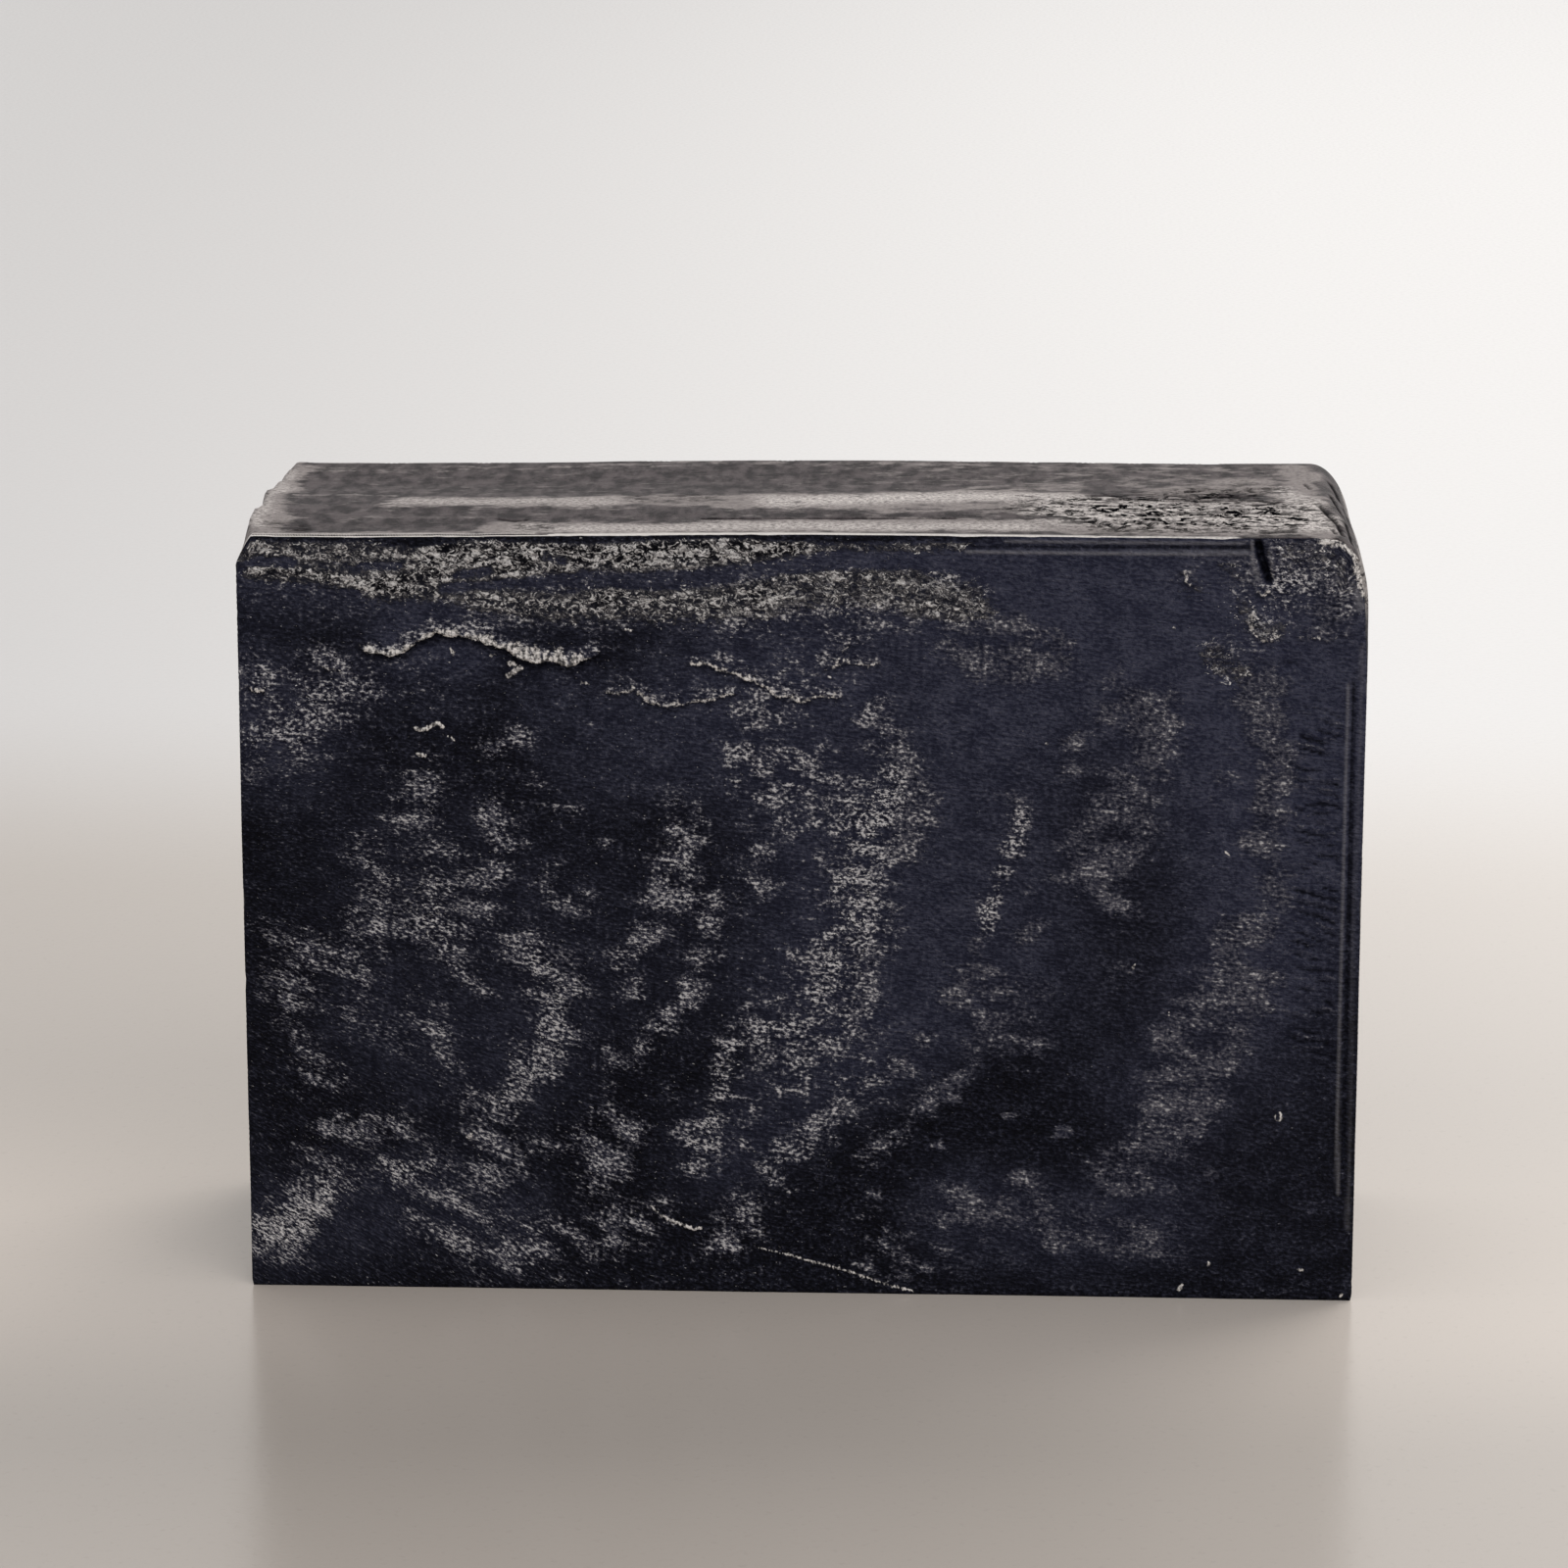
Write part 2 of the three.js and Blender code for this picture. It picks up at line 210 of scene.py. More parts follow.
# A thin, even haze of dust: strongest at the upper right, and none at the left and lower right
HAZE = strokes(
    (5, 0.38, -19, 49, -16, 44), (4, 0.28, -34, 51.5, -28, 50.5), (3, 0.6, -31, 54.4, -26, 53.8),
    (3, 0.55, 0, 52, 4, 50.6), (4, 0.55, 34, 58, 36, 49), (5, 0.28, 39.4, 25, 39.4, 20),
    (5, 0.35, -12, 48, -10, 45), (5, 0.18, 24, 33, 24, 20), (5, 0.1, 38, 13, 38, 6),
    (15, 0.9, 14, 60, 30, 56, 40, 46), (8, 0.75, 38, 46, 38, 38, 37.4, 31),
    (9, 0.62, -4, 50, 2, 42, 4, 34, 3, 26), (8, 0.6, 14, 46, 15, 36, 15, 29), (6, 0.45, 34, 26, 30, 17),
    (5, 0.6, -44, 61, -30, 60, -10, 60, 4, 60), (6, 0.5, -44, 50, -41, 46),
    (9, 0.22, -31, 36, -21, 30, -12, 29), (6, 0.3, -34, 23, -29, 20, -22, 20),
    (5, 0.36, -42, 5, -30, 8, -24, 6), (5, 0.45, 13, 7, 22, 6, 29, 7), (5, 0.45, -6, 12, 2, 18, 10, 22),
)

# Tears in the cut face: the upper side of each line is a raised flake, and the lower side drops away
RIDGE = strokes(
    (0.24, 1, -35, 54.4, -34.7, 53.6, -33.2, 53.1, -31.4, 53.2, -30.4, 54, -28.6, 54.8, -26.5, 54.6,
     -24.5, 54.1, -22.8, 53.3, -21.4, 52.6, -19.6, 52.4, -18.4, 52.2, -17, 52.7, -15.3, 53.3),
)
LIPS = strokes(
    (0.16, 0.55, -16, 49.9, -14.4, 49.9, -13.2, 50.2, -12.5, 49.7, -11.9, 49, -9.9, 48.8, -8.4, 49.2,
     -6.5, 49.5, -4.4, 49.7),
    (0.16, 0.6, -9.6, 52.2, -7.4, 52.1, -6.6, 51.9, -5, 51.3, -3.8, 50.7, -2.4, 50, -1.2, 49.5, 0.2, 49.3,
     1.6, 49.7, 2.8, 49.5, 4, 49.7),
    (0.14, 0.45, 1.6, 51.5, 2.6, 52, 3.4, 52.9, 4.2, 54.6),
    (0.14, 0.45, 2.4, 51.8, 3.6, 52.3, 4.8, 52.2, 6.4, 52.4),
    (0.16, 0.7, -43.9, 50.6, -43.3, 50.1, -42.3, 50.2), (0.14, 0.5, -38.2, 52.2, -37.4, 51.8, -36.4, 51.8),
    (0.16, 0.5, 35.4, 56.8, 35.2, 55.8, 35.6, 55, 36.3, 54.4, 37, 54.5, 37.8, 54.9),
    (0.16, 0.65, 35.7, 58.5, 36.2, 58.1, 36.8, 58.4), (0.12, 0.3, 38.8, 54.9, 41, 54.5, 43.6, 55),
    (0.12, 0.5, 29.9, 60.2, 30.1, 59, 31, 58.7),
)
# Rough hollows where crumbs came away
HOLLOWS = strokes(
    (0.9, 0.8, 33, 53, 33.9, 52), (0.5, 0.6, 37.8, 52.5, 39, 52.7), (0.5, 0.5, 35.6, 52.6, 36.4, 52.3),
    (0.35, 0.5, 41, 39.6, 41.2, 39.4), (0.3, 0.5, 16.3, 15.1, 17.2, 15), (0.45, 0.4, 27, 28.6, 27.4, 28.4),
)
# Deep, narrow cuts; the notch is darkened further with painted shade
NOTCH = strokes((0.32, 1, 35.8, 62.1, 36.1, 60.9, 36.7, 59.4))
SLITS = strokes((0.12, 0.5, 20.7, 45.9, 21.5, 46.6, 22.1, 47))
# Burrs: thin bright threads and crumbs of soap that stand on the face
BURRS = strokes(
    (0.11, 0.85, -12, 7.2, -11.3, 6.5, -10.3, 6, -9.3, 5.6, -8.6, 5.3, -7.9, 5.4),
    (0.07, 0.6, -4.2, 4, -2.5, 3.6, -1, 3.3),
    (0.09, 0.75, -1, 3.3, 0.6, 2.8, 2.2, 2.4, 4, 1.9, 6, 1.2, 7.8, 0.6, 9.2, 0.3),
    (0.15, 1, -30.4, 47.1, -29.9, 47, -29.5, 47.1, -29, 47.5, -28.6, 47.55, -28.3, 47.3),
    (0.14, 0.9, -30.3, 45, -29.7, 44.9), (0.05, 0.6, -28.5, 46.7, -27.5, 46.3, -26.9, 45.8),
    (0.2, 1, -23.1, 51.4, -22.6, 51.7, -22.1, 52), (0.16, 1, -23, 52.4, -22.6, 52.3),
    (0.12, 0.8, -27.6, 53.6, -27.4, 53.2), (0.12, 0.8, -24.2, 53.1, -24.5, 53),
    (0.16, 1, -26.7, 12.9, -26.5, 13.1), (0.11, 1, 32.9, 2.9, 33, 3), (0.13, 1, 30.6, 0.7, 30.9, 1.2),
    (0.12, 1, 40.3, 2.6, 40.5, 2.6), (0.11, 1, 43.6, 0.4, 43.7, 0.5), (0.1, 0.8, 26.5, 27.7, 26.6, 27.9),
    (0.09, 0.8, 29.4, 23.9, 29.45, 24), (0.09, 0.8, 19.4, 46.1, 19.5, 46),
    (0.08, 0.7, 38.1, 15.6, 38.1, 15.2, 38.4, 15.1, 38.6, 15.4, 38.4, 15.8),
    (0.08, 0.7, 33.7, 37.4, 34, 36.9), (0.1, 0.8, 29.3, 55.5, 29.4, 55.5),
    (0.09, 0.8, 2.3, 51.2, 2.4, 51.2), (0.09, 0.7, -17.3, 50.8, -16.6, 50.7),
    (0.1, 0.7, -14, 55.2, -13.3, 55),
)

# How far strokes of bloom wander, how strong and how wide they come out
WARP, WARP_PITCH = 0.75, 3.2
BLOOM_SHARE, BLOOM_SPREAD = 0.88, 2.1
# The painted shadow under the front face's top edge, and how much it sways
SHADED_EDGE, RIM_SWAY = (62.0, 62.35), 0.45
# How jagged the tears are, how far the flakes reach, and where and how much the ridge is frayed
JAG, SHELF_REACH = 0.32, 1.5
FRAYED_AT, FRAYED_SPAN, FRAYED_MORE = -20.3, 2.2, 1.3

# Marks of the wire on the cut faces: how much they fall to the right, and how much more at the lower left
DRAG_TILT, DRAG_BEND = 0.087, 0.8

# Scattered specks of bloom between the strokes
SPECKLE_LEFT, SPECKLE_RIGHT = 0.06, 0.02

# How far down the ends the thick film of the broken and the worn edge reaches
LEFT_RIM, RIGHT_RIM = 4.4, 9.0

# Colours of the cut soap, from bare to thickly bloomed
TONES = (
    (0.0020, 0.0020, 0.0048, 1), (0.0082, 0.0088, 0.0165, 1), (0.0310, 0.0325, 0.0520, 1),
    (0.1230, 0.1200, 0.1430, 1), (0.6300, 0.6100, 0.6150, 1),
)

HAZE_DARK, HAZE_LIGHT = (0.0210, 0.0230, 0.0450), (0.0610, 0.0640, 0.0990)
# White flecks: pale crystals, the brightest of them painted glints
SPECK_DIM, SPECK_BRIGHT = (0.260, 0.250, 0.270), (0.92, 0.89, 0.88)
# Crust: dark soap with painted shade between the crumbs, deepest where thick; pale crumbs painted brighter on
# top
CRUMB_GAP, CRUMB_HOLE_SHADE, CRUMB_SHADE = (0.022, 0.023, 0.034), (0.004, 0.004, 0.007), (0.150, 0.142, 0.146)
CRUMB_GREY, CRUMB_WHITE = (0.36, 0.34, 0.34), (0.98, 0.95, 0.93)
# Torn flakes, and the painted highlights on the cut face's ridges and edges
FLAKE_DARK, FLAKE_PALE, HIGHLIGHT_COLOUR = (0.09, 0.085, 0.085), (0.95, 0.90, 0.86), (0.30, 0.29, 0.31)
# Colours of the open face and of the moulded sides
SOAP_DARK, SOAP_SMEARED = (0.012, 0.008, 0.010), (0.078, 0.064, 0.067)
# Thin and thick ash, and the painted highlight along the open face's front rim
ASH_THIN, ASH_THICK, RIM_HIGHLIGHT_COLOUR = (0.275, 0.248, 0.241), (0.820, 0.770, 0.740), (0.80, 0.76, 0.73)
SIDE_DARK, SIDE_LIGHT = (0.006, 0.006, 0.010), (0.017, 0.018, 0.024)
SIDE_ASH, SIDE_THICK_ASH = (0.110, 0.104, 0.104), (0.330, 0.305, 0.295)
# Pits, cracks and pinholes: the dark soap in them, painted darker still as shade
TOP_PIT, SIDE_PIT = (0.004, 0.004, 0.005), (0.004, 0.004, 0.006)

# Materials by side, and the names of what they read from the mesh
SLOT_OF_SIDE = np.array([0, 0, 2, 2, 1, 2])
# the last of these, line, holds painted highlights on the cut face and along the open face's front rim
FIELD_NAMES = ("pale", "rough", "dark", "haze", "spark", "line")
MARKS, MARKS_APART = "marks", 40.0

# The studio, in metres
FLOOR_SPAN, FLOOR_GAP, GRAINS_PER_METRE = 4.0, 0.00002, 1400
FAR_FLOOR = (0.10, 0.19)
# Painted light and shade: lighter just before the bar, where its shadow falls, and to the right; darker
# further in front
NEAR_FLOOR, FRONT_FLOOR = (0.05, -0.016), (-0.018, -0.052)
FLOOR_MID, FLOOR_LIT_NEAR = (0.440, 0.398, 0.362), (0.585, 0.522, 0.468)
FLOOR_SHADED_FRONT, FLOOR_LIT_RIGHT, FLOOR_GRAIN = (0.435, 0.394, 0.358), (0.95, 0.91, 0.87), (0.10, 0.09, 0.08)
# The far strip stands for the wall, lighter to the right with painted light
WALL_SPAN, WALL_LEFT, WALL_LIT_RIGHT = (-0.17, 0.07), (0.55, 0.54, 0.54), (0.81, 0.805, 0.805)
BRIGHT_SIDE = (0.42, 0.68, 0.60)
ROOM_DIM, ROOM_BRIGHT, ROOM_STRENGTH = (0.42, 0.43, 0.46, 1), (1.0, 0.98, 0.96, 1), 0.85
KEY_AT, KEY_SIZE, KEY_POWER, KEY_COLOUR = (0.55, 0.65, 0.75), 0.7, 5.0, (1.0, 0.97, 0.93)
FILL_AT, FILL_SIZE, FILL_POWER, FILL_COLOUR = (0.45, -0.9, 0.9), 0.9, 4.0, (1.0, 0.98, 0.97)
LIT_AT = (0, 0, 0.03)
CAMERA_AT = (0.01804, -0.4634, 0.1608)
CAMERA_DOWN, CAMERA_LEFT = 14.73, 2.46
LENS_MM, SENSOR_MM = 135, 36

# Straight marks of the wire and the tray: where they are, and the short level ridges beside the right end
END_RIDGE_X, END_GROOVE_X = 43.05, 43.5
END_MARK_SPAN = (9, 51)
TOP_MARK_SPAN = (12, 35.2)
TOP_GROOVE_Z, TOP_RIDGE_Z = 61.85, 61.42
SERRATION_SPAN, SERRATION_PITCH, SERRATION_HEIGHT = (38.2, 42.6), 0.85, 0.13
SERRATION_FOOT, SERRATION_HEAD, SERRATION_FINE = (16, 22), (52, 46), (18, 50)

# Relief of the cut faces: how far a tear rises, drops and reaches, then heights and depths
FLAKE, LIP = (0.42, 0.5, 0.9), (0.2, 0.2, 0.7)
FRONT_WAVES, FRONT_GRAIN, BACK_WAVES, BACK_GRAIN = 0.06, 0.02, 0.05, 0.03
CRUST_HEIGHT, CRUST_SINK, CRUMB_HEIGHT, BACK_CRUST_HEIGHT = 0.17, 0.02, 0.2, 0.08
HOLLOW_DEPTH, HOLLOW_ROUGHNESS, NOTCH_DEPTH, SLIT_DEPTH = 0.45, 0.3, 0.7, 0.35
# Height and width of the marks of the wire and the tray
END_RIDGE, END_GROOVE = (0.16, 0.17), (0.26, 0.15)
TOP_RIDGE, TOP_GROOVE = (0.12, 0.16), (0.22, 0.2)
# How far from a face the sides next to it still follow its relief
RELIEF_REACH = 1.2
# Relief of the open face and the moulded sides
FILM_HEIGHT, PIT_DEPTH, CRACK_DEPTH, WALL_WAVES, PINHOLE_DEPTH = 0.05, 0.2, 0.22, 0.05, 0.12

# How far the back face's crust and bloom lie from the front's
BACK_CRUST_SHIFT, BACK_BLOOM_SHIFT = (1.5, 0.2), (3, -1.5)

# Painted shade in the wire marks' grooves, the notch and hollows; painted highlights on ridges, edges, notch
# rims
PAINTED_SHADE_LINES = strokes(
    (0.22, 0.75, 13, 61.8, 24, 61.85, 35.2, 61.9), (0.2, 0.9, 43.55, 10, 43.5, 30, 43.45, 52),
    (0.34, 1, 35.75, 62.5, 36.05, 60.9, 36.65, 59.3), (0.22, 0.4, 33.2, 52.6, 34.2, 52.5),
    (0.22, 0.3, 36.4, 52.9, 37.6, 52.6, 39, 52.8),
)
PAINTED_HIGHLIGHT_LINES = strokes(
    (0.14, 0.55, 13, 61.42, 24, 61.44, 35, 61.5), (0.1, 0.45, 16, 62.25, 26, 62.3, 34.6, 62.3),
    (0.14, 0.5, 35.25, 62.4, 35.4, 60.6, 35.8, 59.4), (0.12, 0.35, 36.6, 61.6, 36.9, 60.4),
    (0.14, 0.4, 43.2, 9, 43.05, 14, 43, 30, 43.05, 51), (0.1, 0.25, 44, 6, 43.95, 30, 44, 54),
    (0.35, 0.5, 43.6, 58.6, 43.9, 57.2),
)
# A pale rim along the edges of the front face's upper right corner
PALE_CORNER_RIM = strokes((0.8, 0.7, 41, 62.7, 44.3, 62.6, 44.5, 60.5, 44.5, 58.5))

# ---------------------------------------------------------------- what is drawn on the open face
# Here a point is x along the bar and y across it.
FILM = strokes(
    (1.6, 1, -43, -13, -43, 0, -43.2, 13), (0.5, 0.9, -43, -12.9, -34, -12.8, -26, -12.6),
    (2.3, 0.95, -24, -11.2, -14, -11.4, -4, -11.2, 8, -10.6, 20, -10.4, 30, -11.2, 40, -11),
    (0.4, 0.7, -41, 1, -36, 1.2, -33, 0.8), (2.3, 0.85, -32, -1.9, -24, -2, -17, -2.2),
    (2.6, 0.65, -16, -2, -9, -2, -3, -2.2), (3.2, 0.95, -3, -2.2, 6, -1.6, 14, -0.4, 20, -0.6),
    (2, 0.7, 4, -5.4, 12, -5, 18, -5), (4.6, 0.9, 22, -4, 30, -5, 38, -6),
    (0.7, 0.35, -41, 11.6, -24, 12, -4, 12.6, 14, 13), (2.4, 0.45, 14, 2.6, 20, 4.4),
    (4.6, 0.36, 8, 9.6, 20, 9, 36, 9), (3, 0.65, 30, 3, 36, 6, 39, 2),
    (1.5, 0.95, 40.8, -13, 40.4, 0, 39.6, 12), (1.2, 0.45, -35, -8.4, -31.6, -7.6),
    (0.5, 0.4, -21.6, -5.4, -20.8, -7.4), (0.6, 0.4, -14.4, -5.2, -13.6, -7.6),
    (0.5, 0.35, -27, -5.2, -26.4, -7.2), (0.4, 0.35, -36, -5.6, -35.4, -8.8),
    (0.5, 0.35, -9, -5.4, -8.4, -7), (0.5, 0.35, -41, -7.4, -38.6, -9.6),
)
# The bright lines along the front rim: painted highlights where the edge catches the light
RIM_HIGHLIGHTS = strokes(
    (0.36, 0.85, -44.4, -13.8, -20, -13.8, 0, -13.8, 20, -13.85, 34, -13.9),
    (0.12, 0.6, -43.5, -13.1, -30, -13.05, -21, -13.1),
)
# How far the film wanders from its strokes, along the bar and across it
SMEAR, SMEAR_PITCH = (1.6, 0.9), 3.4
# Thick, whiter ash, and the dark streaks between the film
ASH = strokes(
    (1.8, 0.35, -32, -1.8, -24, -1.8, -16, -2.2), (2.2, 0.7, -2, -2.4, 6, -1.6, 14, 0, 22, 0.2),
    (1.4, 0.5, -22, -11, -10, -11.4, 4, -11, 18, -11), (4.6, 0.8, 22, -5, 30, -6, 38, -7),
    (1.4, 0.7, 38, 4, 40, -2, 41, -10), (0.8, 0.5, -43.4, -10, -43.4, 10),
)
STREAK = strokes(
    (2, 0.9, -40, -10.6, -31, -8, -27, -6.8),
    (1.5, 0.9, -33, -6, -26, -6.2, -20, -6.4, -14, -6.4, -8, -6.8, -4, -6.6),
    (1.3, 0.9, -14, -7.6, -11, -8.8, -8.6, -8), (0.8, 0.5, -4, -6.2, 4, -6.6, 12, -6.4, 17, -6.2),
    (3.6, 0.8, -38, -6, -36, -3), (3.6, 0.9, -38, 6.4, -20, 6.4, -6, 6.8),
    (3.6, 0.65, -4, 7.2, 6, 7.6, 16, 8.8), (2.4, 0.35, 20, 9, 30, 9.4, 36, 10.4),
)
# The rough, pitted end
PITTED = strokes(
    (7.5, 1, 26, -6, 36, -6), (4.2, 0.8, 19, -4, 26, -1.5, 31, 0.5), (3.2, 0.7, 32, 2, 36, 4),
    (2, 0.5, -13, -1, -9, -1), (1.3, 0.5, -22, -10, -20, -11), (1.3, 0.6, -42, -9.5, -40, -11),
)
# Dark crescents and cracks in the film
CRACKS = strokes(
    (0.3, 1, 26.5, -6.1, 29, -5.5, 31.5, -5.7, 33.5, -5.3, 36, -5.6, 38.6, -6),
    (0.24, 0.9, 24, -3.4, 26, -2.8, 28, -3.3, 30, -2.6, 32, -3.1),
    (0.26, 0.9, 31.5, -4.2, 33, -3.7, 35.5, -4.2, 38.2, -3.8), (0.24, 0.9, 25, -1.1, 27, -0.7, 29.5, -1.3),
    (0.24, 0.8, 31.5, -0.6, 34, -1.2, 36.5, -0.8, 38, -1.6),
    (0.28, 1, 28.6, -9, 29, -8.1, 30.2, -7.7, 31.6, -8, 32.3, -8.9),
    (0.28, 1, 28.8, -9.9, 29.6, -10.8, 30.8, -11, 31.8, -10.5),
    (0.22, 0.8, 29.8, -9.2, 30.5, -8.8, 31.2, -9.2), (0.28, 0.9, 33.6, -9, 35, -9.7, 36.4, -9.4),
    (0.26, 0.9, 26, -8.2, 27.2, -9, 27.6, -10.2), (0.24, 0.8, 22.6, -8.8, 24.2, -9.6, 24.8, -10.8),
    (0.7, 0.8, 36.4, -11.6, 38.2, -11), (0.28, 0.9, 20, -1.6, 21, -2.7, 22.2, -3),
    (0.26, 0.8, 17, -3, 18.4, -3.8, 19, -4.8), (0.26, 0.7, 22, -5.4, 23.4, -5, 24.4, -5.6),
    (0.26, 0.7, 33, 1.6, 34.6, 1, 36, 1.6), (0.26, 0.7, 28, 1.4, 29.4, 2, 31, 1.4),
    (0.3, 0.8, 35.4, 4.6, 35.9, 3.6), (0.3, 0.8, 37.8, 5, 38.4, 4.2),
    (0.24, 0.7, 22.4, 0.8, 24, 1.2, 25.2, 0.7), (0.22, 0.7, 17, 0.8, 18.4, 0.2),
    (0.3, 0.7, -22.6, -10.8, -21, -11.4, -19.6, -11), (0.22, 0.6, -24.2, -7.8, -22.8, -8.6, -22, -8.2),
    (0.16, 0.8, -43, -13.42, -36, -13.42, -27, -13.45, -20, -13.5),
    (0.22, 0.9, 41, -3, 41.5, -6, 42.2, -9, 42.4, -12), (0.2, 0.9, 42.2, 3, 42.5, -0.5, 42.9, -4),
    (0.22, 0.9, 43, -6.5, 43.3, -9.5, 43.4, -12.5), (0.45, 0.9, 42.6, 9, 43.2, 6.5, 43.4, 4),
    (0.18, 0.8, 41.6, -10.6, 41.9, -12.4), (0.2, 0.8, 43.6, 2.5, 43.8, -1.5, 43.9, -5),
    (0.16, 0.7, 40.2, 6.5, 40.6, 4.4), (0.16, 0.6, -8, -8.4, 2, -8.2, 12, -8),
)
# Rings in the pitted end
RINGS_AT = (30.5, -9.0)
RINGS_SPAN, RING_PITCH, RING_SQUASH = 5.5, 1.7, 0.72
CRINKLE_PITCH = 1.35

# ---------------------------------------------------------------- small tools for fields


def smooth(low, high, value):
    """0 below low, 1 above high and a smooth step between them; low may be above high."""
    t = np.clip((value - low) / (high - low), 0, 1)
    return t * t * (3 - 2 * t)


def lattice(i, j, seed):
    """A fixed number from 0 to 1 for each lattice point."""
    h = (i * 374761393 + j * 668265263 + seed * 144269507) & 0xFFFFFFFF
    h = ((h ^ (h >> 13)) * 1274126177) & 0xFFFFFFFF
    return ((h ^ (h >> 16)) & 0xFFFF) / 65535.0


def value_noise(u, v, seed):
    """Smooth noise from -1 to 1, with features one unit across."""
    i, j = np.floor(u).astype(np.int64), np.floor(v).astype(np.int64)
    s, t = smooth(0, 1, u - i), smooth(0, 1, v - j)
    low = lattice(i, j, seed) * (1 - s) + lattice(i + 1, j, seed) * s
    high = lattice(i, j + 1, seed) * (1 - s) + lattice(i + 1, j + 1, seed) * s
    return 2 * (low * (1 - t) + high * t) - 1


def fractal(u, v, pitch, octaves, seed):
    """Noise from about -1 to 1 whose largest features are pitch across."""
    total, weight, size = 0.0, 0.0, 1.0
    for octave in range(octaves):
        scale = 2.0**octave / pitch
        total = total + size * value_noise(u * scale, v * scale, seed + octave)
        weight += size
        size *= 0.55
    return total / weight


def along_line(u, v, points):
    """Distance to a line of points, which side of it (above is positive) and the share of its length."""
    line = np.array(points, float)
    steps = np.linalg.norm(np.diff(line, axis=0), axis=1)
    reached = np.concatenate([[0], np.cumsum(steps)])
    best, side, share = np.full(u.shape, 1e9), np.ones(u.shape), np.zeros(u.shape)
    for (au, av), (bu, bv), length, start in zip(line[:-1], line[1:], steps, reached):
        du, dv = (bu - au) / length, (bv - av) / length
        along = np.clip((u - au) * du + (v - av) * dv, 0, length)
        offset_u, offset_v = u - au - along * du, v - av - along * dv
        distance = np.hypot(offset_u, offset_v)
        nearer = distance < best
        best = np.where(nearer, distance, best)
        side = np.where(nearer, np.sign(du * offset_v - dv * offset_u), side)
        share = np.where(nearer, (start + along) / reached[-1], share)
    return best, side, share


def near_box(u, v, points, reach):
    """Which points lie near enough to a stroke to matter."""
    line = np.array(points, float)
    low, high = line.min(0) - reach, line.max(0) + reach
    return (u > low[0]) & (u < high[0]) & (v > low[1]) & (v < high[1])


def painted(u, v, drawn, inner=0.0, outer=1.7):
    """Soft union of the drawn strokes: full within inner radii of each line, nothing beyond outer radii."""
    left = np.ones(u.shape)
    for radius, strength, points in drawn:
        near = near_box(u, v, points, outer * radius)
        if near.any():
            distance, _, _ = along_line(u[near], v[near], points)
            left[near] *= 1 - strength * smooth(outer * radius, inner * radius, distance)
    return 1 - left


# ---------------------------------------------------------------- the mesh before its relief


def plain_box():
    """A closed box of right-angled triangles: points, faces and the side each face is on."""
    lows = np.array([-HALF_LENGTH, -HALF_THICKNESS, 0.0])
    spans = np.array([2 * HALF_LENGTH, 2 * HALF_THICKNESS, HEIGHT])
    counts = [round(span / COARSE_CELL) for span in spans]
    index, points, faces, sides = {}, [], [], []

    def vertex(cell):
        """The number of the point at a cell's low corner, made when it is first asked for."""
        if cell not in index:
            index[cell] = len(points)
            points.append(lows + spans * np.array(cell) / counts)
        return index[cell]

    # side: the axis it faces, whether it is the high one, and whether its cells run anticlockwise
    walls = {FRONT: (1, 0), BACK: (1, 1), LEFT: (0, 0), RIGHT: (0, 1), UNDER: (2, 0), TOP: (2, 1)}
    for side, (axis, high) in walls.items():
        a, b = [k for k in range(3) if k != axis]
        outward = (high == 1) != (axis == 1)
        for i in range(counts[a]):
            for j in range(counts[b]):
                corners = []
                for di, dj in ((0, 0), (1, 0), (1, 1), (0, 1)):
                    cell = [0, 0, 0]
                    cell[axis], cell[a], cell[b] = high * counts[axis], i + di, j + dj
                    corners.append(vertex(tuple(cell)))
                if not outward:
                    corners.reverse()
                faces += [(corners[0], corners[1], corners[2]), (corners[0], corners[2], corners[3])]
                sides += [side, side]
    return np.array(points), np.array(faces), np.array(sides)


def side_of(points):
    """The side that each point inside a face lies on."""
    x, y, z = points.T
    near = np.stack([
        y + HALF_THICKNESS, HALF_THICKNESS - y, x + HALF_LENGTH, HALF_LENGTH - x, HEIGHT - z, z,
    ])
    return near.argmin(0)


def wanted_pitch(points):
    """Longest edge allowed at each point of the plain box."""
    x, y, z = points.T
    side = side_of(points)
    pitch = np.array(SIDE_PITCH)[side]
    walls = np.sort(np.abs(np.stack([
        HALF_THICKNESS - np.abs(y), HALF_LENGTH - np.abs(x), np.minimum(z, HEIGHT - z),
    ])), axis=0)
    cut_edge = (walls[1] < EDGE_REACH) & (side != UNDER)
    pitch = np.where(cut_edge, np.minimum(pitch, EDGE_PITCH), pitch)
    front, top = side == FRONT, side == TOP
    pitch[front] = np.minimum(pitch[front], front_pitch(x[front], z[front]))
    pitted = painted(x[top], y[top], PITTED, 0.3, 1.5) > 0.35
    pitch[top] = np.where(pitted, np.minimum(pitch[top], PIT_PITCH), pitch[top])
    cracked = painted(x[top], y[top], CRACKS, 0.99, 2.2) > 0.02
    pitch[top] = np.where(cracked, TEAR_PITCH, pitch[top])
    return pitch


